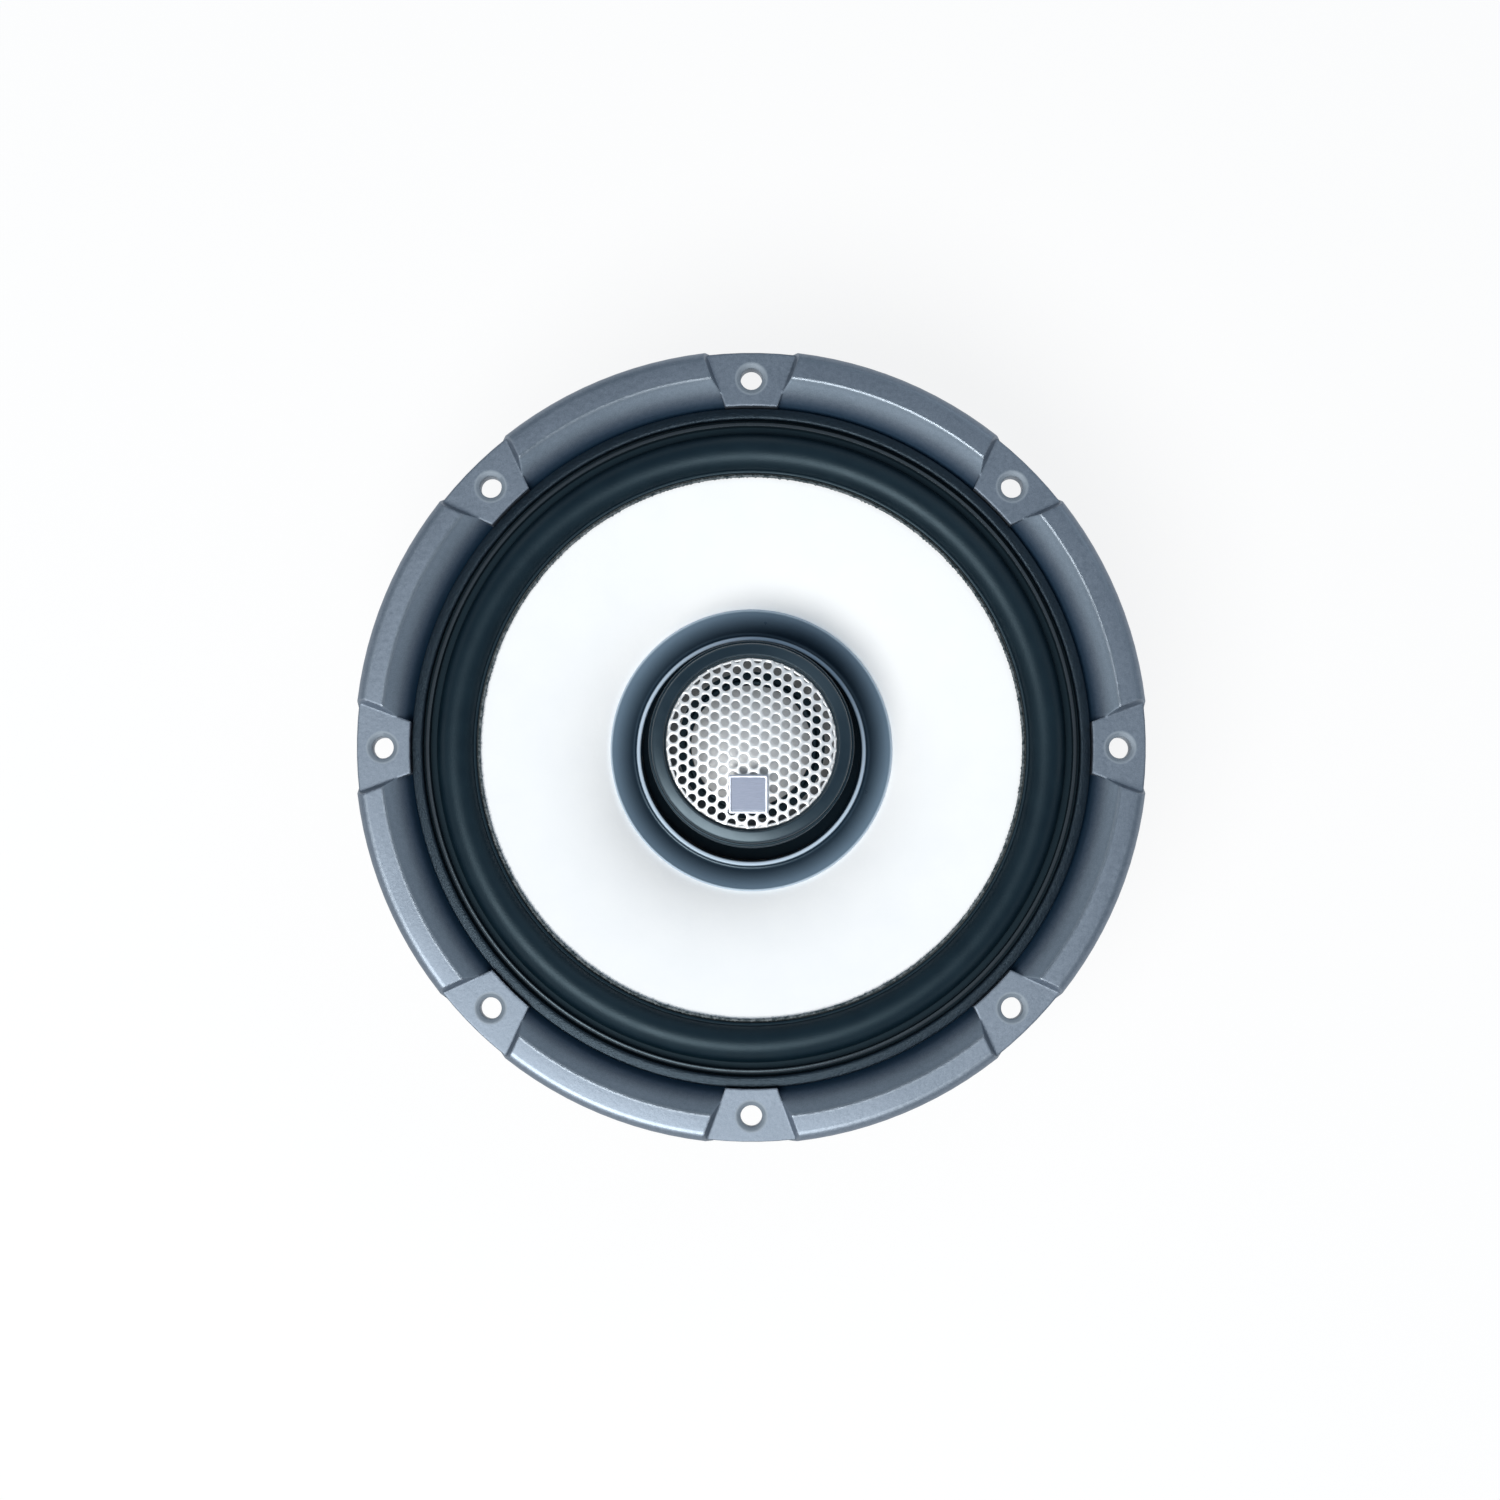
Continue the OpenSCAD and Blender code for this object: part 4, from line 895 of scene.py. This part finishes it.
strands = rope.node("GeometryNodeDuplicateElements", {"domain": "SPLINE"}, copies)
x, y, z = rope.place()
_, tangent_y, tangent_z = rope.parts(rope.node("GeometryNodeInputTangent")[0])
turn = math.tau * (
    strands["Duplicate Index"] / given["Strands"]
    + given["Turns"] * rope.node("GeometryNodeSplineParameter")["Factor"]
)
side_way, up_way = given["Wind_Size"] * turn.cosine(), given["Wind_Size"] * turn.sine()
wound = rope.moved(strands["Geometry"], x + side_way, y - up_way * tangent_z, z + up_way * tangent_y)
wires = rope.swept(wound, 6, given["Strand_Size"], capped=True)
tinsel = rope.finished(wires, braid, paths, 75)
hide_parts("tinsel_leads")
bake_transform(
    tinsel, "frame", "cone_assembly", start=(0, lead_from.x, lead_from.y), end=(0, lead_to.x, lead_from.y)
)

# ---------------------------------------------------------------- terminals
# A punched phenolic board riveted to the frame's boss. It carries two tinned blades, the
# wider one positive, and the tweeter's film capacitor with its bent leads.
board = Finish("phenolic_board", (0.05, 0.035, 0.022), 0.55)
board.round_edges(0.0002)
x, y, z = board.parts(board.place)
ply = board.noise(1.0, 4, 0.6, place=board.point(x * 900, y * 9000, z * 300))
fleck = board.noise(2400, 3)
board.set(
    Base_Color=board.mix(ply * 0.6 + fleck * 0.4, (0.03, 0.021, 0.014), (0.105, 0.07, 0.042)),
    Roughness=0.42 + 0.28 * fleck,
)
board.bump(ply, 0.00004)
board.coat("terminal_board")
sleeve = Finish("capacitor_sleeve", (0.03, 0.05, 0.13), 0.35, Coat_Weight=0.4)
sleeve.round_edges(0.0004)
wrap = sleeve.noise(500, 3)
sleeve.set(
    Base_Color=sleeve.mix(wrap, (0.018, 0.032, 0.09), (0.045, 0.07, 0.17)),
    Roughness=0.28 + 0.2 * wrap,
)
sleeve.bump(wrap, 0.00005)
sleeve.coat("capacitor")

# ---------------------------------------------------------------- tweeter's post
# A hollow turned steel post through the pole, drawn up by a nut and washer in the back
# plate's recess and by a nut inside the housing. It and the tweeter's motor are plated.
post = Finish("turned_steel", (0.56, 0.57, 0.58), 0.3, Metallic=1.0)
post.round_edges(0.0002)
cutting = post.turned_marks(3000, 1.5)
plating_haze = post.noise(600, 3)
post.set(
    Base_Color=post.mix(plating_haze, (0.48, 0.49, 0.5), (0.68, 0.68, 0.66)),
    Roughness=0.2 + 0.16 * cutting + 0.12 * plating_haze,
)
post.bump(cutting, 0.00003)
post.coat("tweeter_stem", "stem_washer", "stem_nut_rear", "stem_nut_top")
post.coat("tweeter_cup", "tweeter_magnet", "tweeter_top_plate")

# ---------------------------------------------------------------- tweeter housing
# A satin black moulded cup on the post. It tapers below, to clear the cone, and holds the
# tweeter's motor. From here on the tweeter's outlines are in millimetres, through mm().
(low, high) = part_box("tweeter_pod")
pod_low, pod_top = low[2] * 1000, high[2] * 1000
POD_R = 21.1
BORE_R, FLOOR_H = 5.05, 3
WELL_R, SHOULDER_R, SHOULDER_H = 11.5, 18.4, 5.7
SEAT_W, SEAT_H = 0.55, 0.8
taper = [(7.6, 0), (12.5, 1.4), (16.4, 3.4), (19.2, 6), (20.6, 8.4), (POD_R, 10.4), (POD_R, 12)]


def between(a, b, c, d, t):
    """The value at share t from b to c, of a smooth run through a, b, c and d."""
    return 0.5 * (2 * b + (c - a) * t + (2 * a - 5 * b + 4 * c - d) * t**2 + (3 * b - a - 3 * c + d) * t**3)


def smoothed(points, steps):
    """A smooth curve through the points, from the second to the last but one."""
    curve = []
    for four in zip(points, points[1:], points[2:], points[3:]):
        for i in range(steps):
            t = i / steps
            curve.append(tuple(between(*values, t) for values in zip(*four)))
    return curve + [points[-2]]


wall = smoothed([(6.4, 0)] + taper, 6)
pod = turned(
    "tweeter_housing",
    mm((BORE_R, pod_low + 0.05), *[(r, pod_low + max(0, h)) for r, h in wall])
    + mm((POD_R, pod_top - 0.35), (POD_R - 0.1, pod_top - 0.1), (POD_R - 0.3, pod_top))
    + mm((POD_R - 0.5, pod_top), (POD_R - SEAT_W, pod_top - 0.06), (POD_R - SEAT_W, pod_top - SEAT_H))
    + mm((SHOULDER_R, pod_top - SEAT_H), (SHOULDER_R, pod_low + SHOULDER_H), (WELL_R, pod_low + SHOULDER_H))
    + mm((WELL_R, pod_low + FLOOR_H), (BORE_R, pod_low + FLOOR_H)),
    256,
)
shell = Finish(
    "satin_housing", (0.006, 0.014, 0.022), 0.4, Specular_IOR_Level=0.4, Specular_Tint=(0.6, 0.82, 1.0, 1)
)
grain = shell.noise(2400, 3)
shell.set(
    Base_Color=shell.mix(grain, (0.002, 0.009, 0.015), (0.008, 0.02, 0.029)),
    Roughness=0.34 + 0.16 * grain,
)
shell.bump(grain, 0.00003)
pod.data.materials.append(shell.material)
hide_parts("tweeter_pod")
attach(pod, "frame")

# ---------------------------------------------------------------- tweeter bezel
# A satin moulded ring pressed into the housing. Its crown is highest at the grille,
# slopes gently outwards and rolls over at its edge.
BEZEL_R, BEZEL_H = 17.95, 1.9
BEZEL_FIT = 0.6
CROWN_LEAN, CROWN_ROUND = 14, 0.7
HIDDEN_W, HIDDEN_H = 1.1, 0.1
crown_r = BEZEL_R + 0.45
rolled = arc((POD_R - BEZEL_FIT - CROWN_ROUND, pod_top + 0.72), CROWN_ROUND, 0, 90 - CROWN_LEAN, 14)
crown_z = rolled[-1][1] + (rolled[-1][0] - crown_r) * math.tan(math.radians(CROWN_LEAN))
bezel = turned(
    "tweeter_bezel_ring",
    mm((BEZEL_R - HIDDEN_W, pod_top - SEAT_H), (POD_R - BEZEL_FIT, pod_top - SEAT_H))
    + mm((POD_R - BEZEL_FIT, pod_top + HIDDEN_H), *rolled)
    + mm((crown_r, min(crown_z, pod_top + BEZEL_H - 0.02)), (BEZEL_R + 0.25, pod_top + BEZEL_H))
    + mm((BEZEL_R + 0.08, pod_top + BEZEL_H - 0.08), (BEZEL_R, pod_top + BEZEL_H - 0.25))
    + mm((BEZEL_R, pod_top + HIDDEN_H), (BEZEL_R - HIDDEN_W, pod_top + HIDDEN_H)),
    288,
)
bezel_black = Finish(
    "satin_bezel", (0.006, 0.016, 0.026), 0.36, Specular_IOR_Level=0.95, Specular_Tint=(0.66, 0.86, 1.0, 1)
)
sheen = bezel_black.noise(350, 3)
bezel_black.set(
    Base_Color=bezel_black.mix(sheen, (0.0005, 0.006, 0.012), (0.003, 0.012, 0.02)),
    Roughness=0.31 + 0.13 * sheen,
)
bezel_black.bump(sheen, 0.00002)
bezel.data.materials.append(bezel_black.material)
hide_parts("tweeter_bezel")
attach(bezel, "frame")

# ---------------------------------------------------------------- tweeter faceplate
# The ring under the grille that carries the dome's suspension, in bead-blasted aluminium
# with a stepped and chamfered edge.
(low, high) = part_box("tweeter_faceplate")
face_low, face_top = low[2] * 1000, high[2] * 1000
FACE_IN, FACE_OUT, FACE_STEP = 13.75, 18.3, 1.3
faceplate = turned(
    "suspension_ring",
    mm((FACE_IN, face_low), (FACE_OUT, face_low), (FACE_OUT, face_top - FACE_STEP - 0.1))
    + mm((FACE_OUT - 0.1, face_top - FACE_STEP), (16.7, face_top - FACE_STEP), (15.5, face_top - 0.1))
    + mm((15.3, face_top), (FACE_IN + 0.1, face_top), (FACE_IN, face_top - 0.1)),
    256,
)
blast = Finish("blasted_ring", (0.5, 0.52, 0.54), 0.5, Metallic=0.4)
bead_marks = blast.noise(3600, 3)
blast.set(
    Base_Color=blast.mix(bead_marks, (0.4, 0.42, 0.44), (0.6, 0.62, 0.64)),
    Roughness=0.4 + 0.25 * bead_marks,
)
blast.bump(bead_marks, 0.00004)
faceplate.data.materials.append(blast.material)
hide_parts("tweeter_faceplate")
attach(faceplate, "frame")

# ---------------------------------------------------------------- tweeter dome
# A one-inch dome drawn from aluminium sheet, with the small rubber half roll that it
# hangs from glued round its edge and to the faceplate.
DOME_WALL = 0.3
CAP_STEPS = 30
(low, high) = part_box("tweeter_dome")
dome_r, dome_low, dome_top = high[0] * 1000, low[2] * 1000, high[2] * 1000
rise = dome_top - dome_low
ball = (dome_r**2 + rise**2) / (2 * rise)


def cap(edge_r, ball_r):
    """A slice of a ball about the dome's centre, from the axis to edge_r."""
    steps = [edge_r * i / CAP_STEPS for i in range(CAP_STEPS + 1)]
    return mm(*[(r, dome_top - ball + math.sqrt(ball_r**2 - r**2)) for r in steps])


inner_r = math.sqrt((ball - DOME_WALL) ** 2 - (ball - rise) ** 2)
dome = turned("tweeter_dome_cap", cap(dome_r, ball) + cap(inner_r, ball - DOME_WALL)[::-1], 192)
silver = Finish("drawn_aluminium", (0.9, 0.92, 0.93), 0.45, Metallic=0.35)
draw_marks = silver.turned_marks(1800, 4)
silver.set(
    Base_Color=silver.mix(draw_marks, (0.86, 0.88, 0.9), (0.94, 0.95, 0.955)),
    Roughness=0.38 + 0.16 * draw_marks,
)
silver.bump(draw_marks, 0.00002)
dome.data.materials.append(silver.material)
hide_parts("tweeter_dome")
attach(dome, "dome_assembly")

SMALL_ROLL_MID, SMALL_ROLL_R = 13.15, 0.7
SMALL_RUBBER = 0.25
SMALL_FLANGE_OUT = 15.2
roll_low = dome_low + 0.02
roll = turned(
    "tweeter_suspension",
    mm(*arc((SMALL_ROLL_MID, roll_low), SMALL_ROLL_R, 180, 22, 20))
    + mm((SMALL_FLANGE_OUT, roll_low + SMALL_RUBBER), (SMALL_FLANGE_OUT, roll_low))
    + mm(*arc((SMALL_ROLL_MID, roll_low), SMALL_ROLL_R - SMALL_RUBBER, 0, 180, 20)),
    224,
)
roll.data.materials.append(rubber.material)
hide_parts("tweeter_roll")
flexing(roll, "frame", "dome_assembly", 0.01385, 0.01245, dome_low / 1000)

# ---------------------------------------------------------------- grille
# A domed steel sheet punched with a close hexagonal field of round holes, silver
# plated, with its edge folded under the bezel's crown.
grille_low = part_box("tweeter_grille")[0][2]
mesh_tree = Build(
    "perforated_grille",
    Pitch=0.0024,
    Hole=0.00088,
    Sheet=0.01745,
    Rise=0.00173,
    Thickness=0.0007,
    Foot=grille_low + 0.00007,
    Turn=math.radians(88),
    Aside=0.0007,
    Ahead=0.0004,
    Rows=19,
)
given = mesh_tree.given
pitch, hole, sheet_r = given["Pitch"], given["Hole"], given["Sheet"]
thickness, rise_in, foot = given["Thickness"], given["Rise"], given["Foot"]

# one cell: a round hole in a hexagon, laid out from a strip three points wide
SIDE_POINTS = 18
BURR_W, BURR_H = 0.00012, 0.00008
strip = mesh_tree.grid(3, SIDE_POINTS + 1)
x, y, _ = mesh_tree.place()
turn = (y + 0.5) * math.tau + math.pi / 6
lean = (turn + math.pi / 6).math("MODULO", math.pi / 3) - math.pi / 6
reach = pitch * 0.5 / lean.cosine()
near = ((x + 0.5) * 2).clamped()
far = ((x + 0.5) * 2 - 1).clamped()
radius = hole + BURR_W * near + (reach - hole - BURR_W) * far
cell = mesh_tree.moved(strip, radius * turn.cosine(), radius * turn.sine(), (near - 1) * BURR_H)
cell = mesh_tree.welded(cell)

# the field: rows of cells, every other row set half a pitch along
WELD = 4e-6
lattice = mesh_tree.grid(given["Rows"], given["Rows"])
index = mesh_tree.node("GeometryNodeInputIndex")[0]
middle = (given["Rows"] - 1) * 0.5
row = ((index + 0.5) / given["Rows"]).math("FLOOR") - middle
column = index - (row + middle) * given["Rows"] - middle
odd = row.size().math("MODULO", 2)
lattice = mesh_tree.moved(lattice, (column + odd * 0.5) * pitch, row * pitch * math.sqrt(0.75), 0)
field = mesh_tree.welded(mesh_tree.realized(mesh_tree.copied(cell, lattice)), WELD)
x, y, z = mesh_tree.place()
cosine, sine = given["Turn"].cosine(), given["Turn"].sine()
across, along = x * cosine - y * sine, x * sine + y * cosine
field = mesh_tree.moved(field, across + given["Aside"], along + given["Ahead"], z)

# the round sheet: what lies outside it goes, and the edge is drawn in to a true circle
x, y, z = mesh_tree.place()
r = (x * x + y * y) ** 0.5
outside = {"Geometry": field, "Selection": r.math("GREATER_THAN", sheet_r)}
field = mesh_tree.node("GeometryNodeDeleteGeometry", {"domain": "FACE"}, outside)[0]
inside = r.math("MINIMUM", sheet_r)
pull = inside / r.math("MAXIMUM", 1e-6)
dome_ball = (sheet_r * sheet_r + rise_in * rise_in) / (2 * rise_in)
lift = (dome_ball * dome_ball - inside * inside) ** 0.5 - dome_ball + rise_in
field = mesh_tree.welded(mesh_tree.moved(field, x * pull, y * pull, foot + lift + z), WELD)

# the sheet's thickness, and the round fold along its edge
up = {"Mesh": field, "Offset": mesh_tree.point(0, 0, 1), "Offset Scale": thickness, "Individual": False}
raised = mesh_tree.node("GeometryNodeExtrudeMesh", {"mode": "FACES"}, up)["Mesh"]
under = mesh_tree.node("GeometryNodeFlipFaces", {}, {"Mesh": field})[0]
sheet_metal = mesh_tree.welded(mesh_tree.joined(raised, under), 2e-6)
edge_circle = mesh_tree.circle(192, sheet_r - 0.0003)
edge_circle = mesh_tree.shifted(edge_circle, 0, 0, foot + thickness * 0.5)
fold = mesh_tree.swept(edge_circle, 8, thickness * 0.45)
plate = Finish("plated_grille", (0.8, 0.81, 0.82), 0.46, Metallic=0.55)
plating = plate.noise(1600, 4)
plate.set(
    Base_Color=plate.mix(plating, (0.74, 0.76, 0.78), (0.88, 0.89, 0.9)),
    Roughness=0.4 + 0.14 * plating,
)
plate.bump(plating, 0.00003)
grille = mesh_tree.finished(mesh_tree.joined(sheet_metal, fold), plate, crease=50)
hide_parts("tweeter_grille")
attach(grille, "frame")

# ---------------------------------------------------------------- badge
# A plain cast badge glued to the grille's front, with a raised border and nothing on its
# face, brushed from side to side and tinted blue-grey.
BADGE_W, BADGE_L, BADGE_T = 0.0081, 0.0079, 0.0009
BADGE_X, BADGE_FROM_EDGE = -0.0006, 0.0074
BADGE_GLUE = 0.00002
BORDER = 0.0005
GRILLE_R, GRILLE_RISE, GRILLE_SHEET = 0.0178, 0.0018, 0.0007
grille_ball = (GRILLE_R**2 + GRILLE_RISE**2) / (2 * GRILLE_RISE)
badge_y = BADGE_FROM_EDGE - GRILLE_R


def badge_loop(inset, z, steps=5):
    """Points round the badge's rounded outline, drawn in by the inset, at height z."""
    corner = max(0.0002, 0.0005 - inset)
    side_x, side_y = BADGE_W / 2 - inset - corner, BADGE_L / 2 - inset - corner
    loop = []
    for start, way_x, way_y in ((0, 1, 1), (90, -1, 1), (180, -1, -1), (270, 1, -1)):
        corner_points = arc((way_x * side_x, way_y * side_y), corner, start, start + 90, steps)
        loop += [(x, y, z) for x, y in corner_points]
    return loop


# the sides, the rounded edge, the flat border and the step down to the face
rings_at = [(0, 0), (0, BADGE_T - 0.00012), (0.00004, BADGE_T - 0.00004), (0.00012, BADGE_T)]
rings_at += [(BORDER, BADGE_T), (BORDER + 0.00008, BADGE_T - 0.00004), (BORDER + 0.00012, BADGE_T - 0.0002)]
form = bmesh.new()
rings = [[form.verts.new(spot) for spot in badge_loop(inset, z)] for inset, z in rings_at]
for a, b in zip(rings, rings[1:]):
    for i in range(len(a)):
        j = (i + 1) % len(a)
        form.faces.new((a[i], a[j], b[j], b[i]))
form.faces.new(rings[-1])
form.faces.new(rings[0][::-1])
bmesh.ops.recalc_face_normals(form, faces=form.faces)
badge_place = (
    Matrix.Translation((BADGE_X, 0, grille_low + GRILLE_SHEET + GRILLE_RISE - grille_ball))
    @ Matrix.Rotation(math.asin(-badge_y / grille_ball), 4, "X")
    @ Matrix.Translation((0, 0, grille_ball + BADGE_GLUE))
)
bmesh.ops.transform(form, matrix=badge_place, verts=form.verts)
badge = piece("blank_badge", form, 35)
satin = Finish("brushed_badge", (0.3, 0.35, 0.42), 0.42, Metallic=0.8)
x, y, z = satin.parts(satin.place)
brush = satin.noise(1.0, 3, 0.6, place=satin.point(x * 700, y * 9000, z * 700))
in_across = (x - BADGE_X).size().ramp(BADGE_W / 2 - BORDER - 0.00005, BADGE_W / 2 - BORDER - 0.0002)
in_along = (y - badge_y).size().ramp(BADGE_L / 2 - BORDER - 0.00005, BADGE_L / 2 - BORDER - 0.0002)
on_face = in_across * in_along
face = satin.mix(brush, (0.13, 0.155, 0.21), (0.26, 0.29, 0.37))
satin.set(
    Base_Color=satin.mix(on_face, (0.5, 0.54, 0.62), face),
    Roughness=0.26 + 0.16 * brush + 0.14 * on_face,
)
satin.bump(brush, 0.00002)
badge.data.materials.append(satin.material)
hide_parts("badge_plate")
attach(badge, "frame")
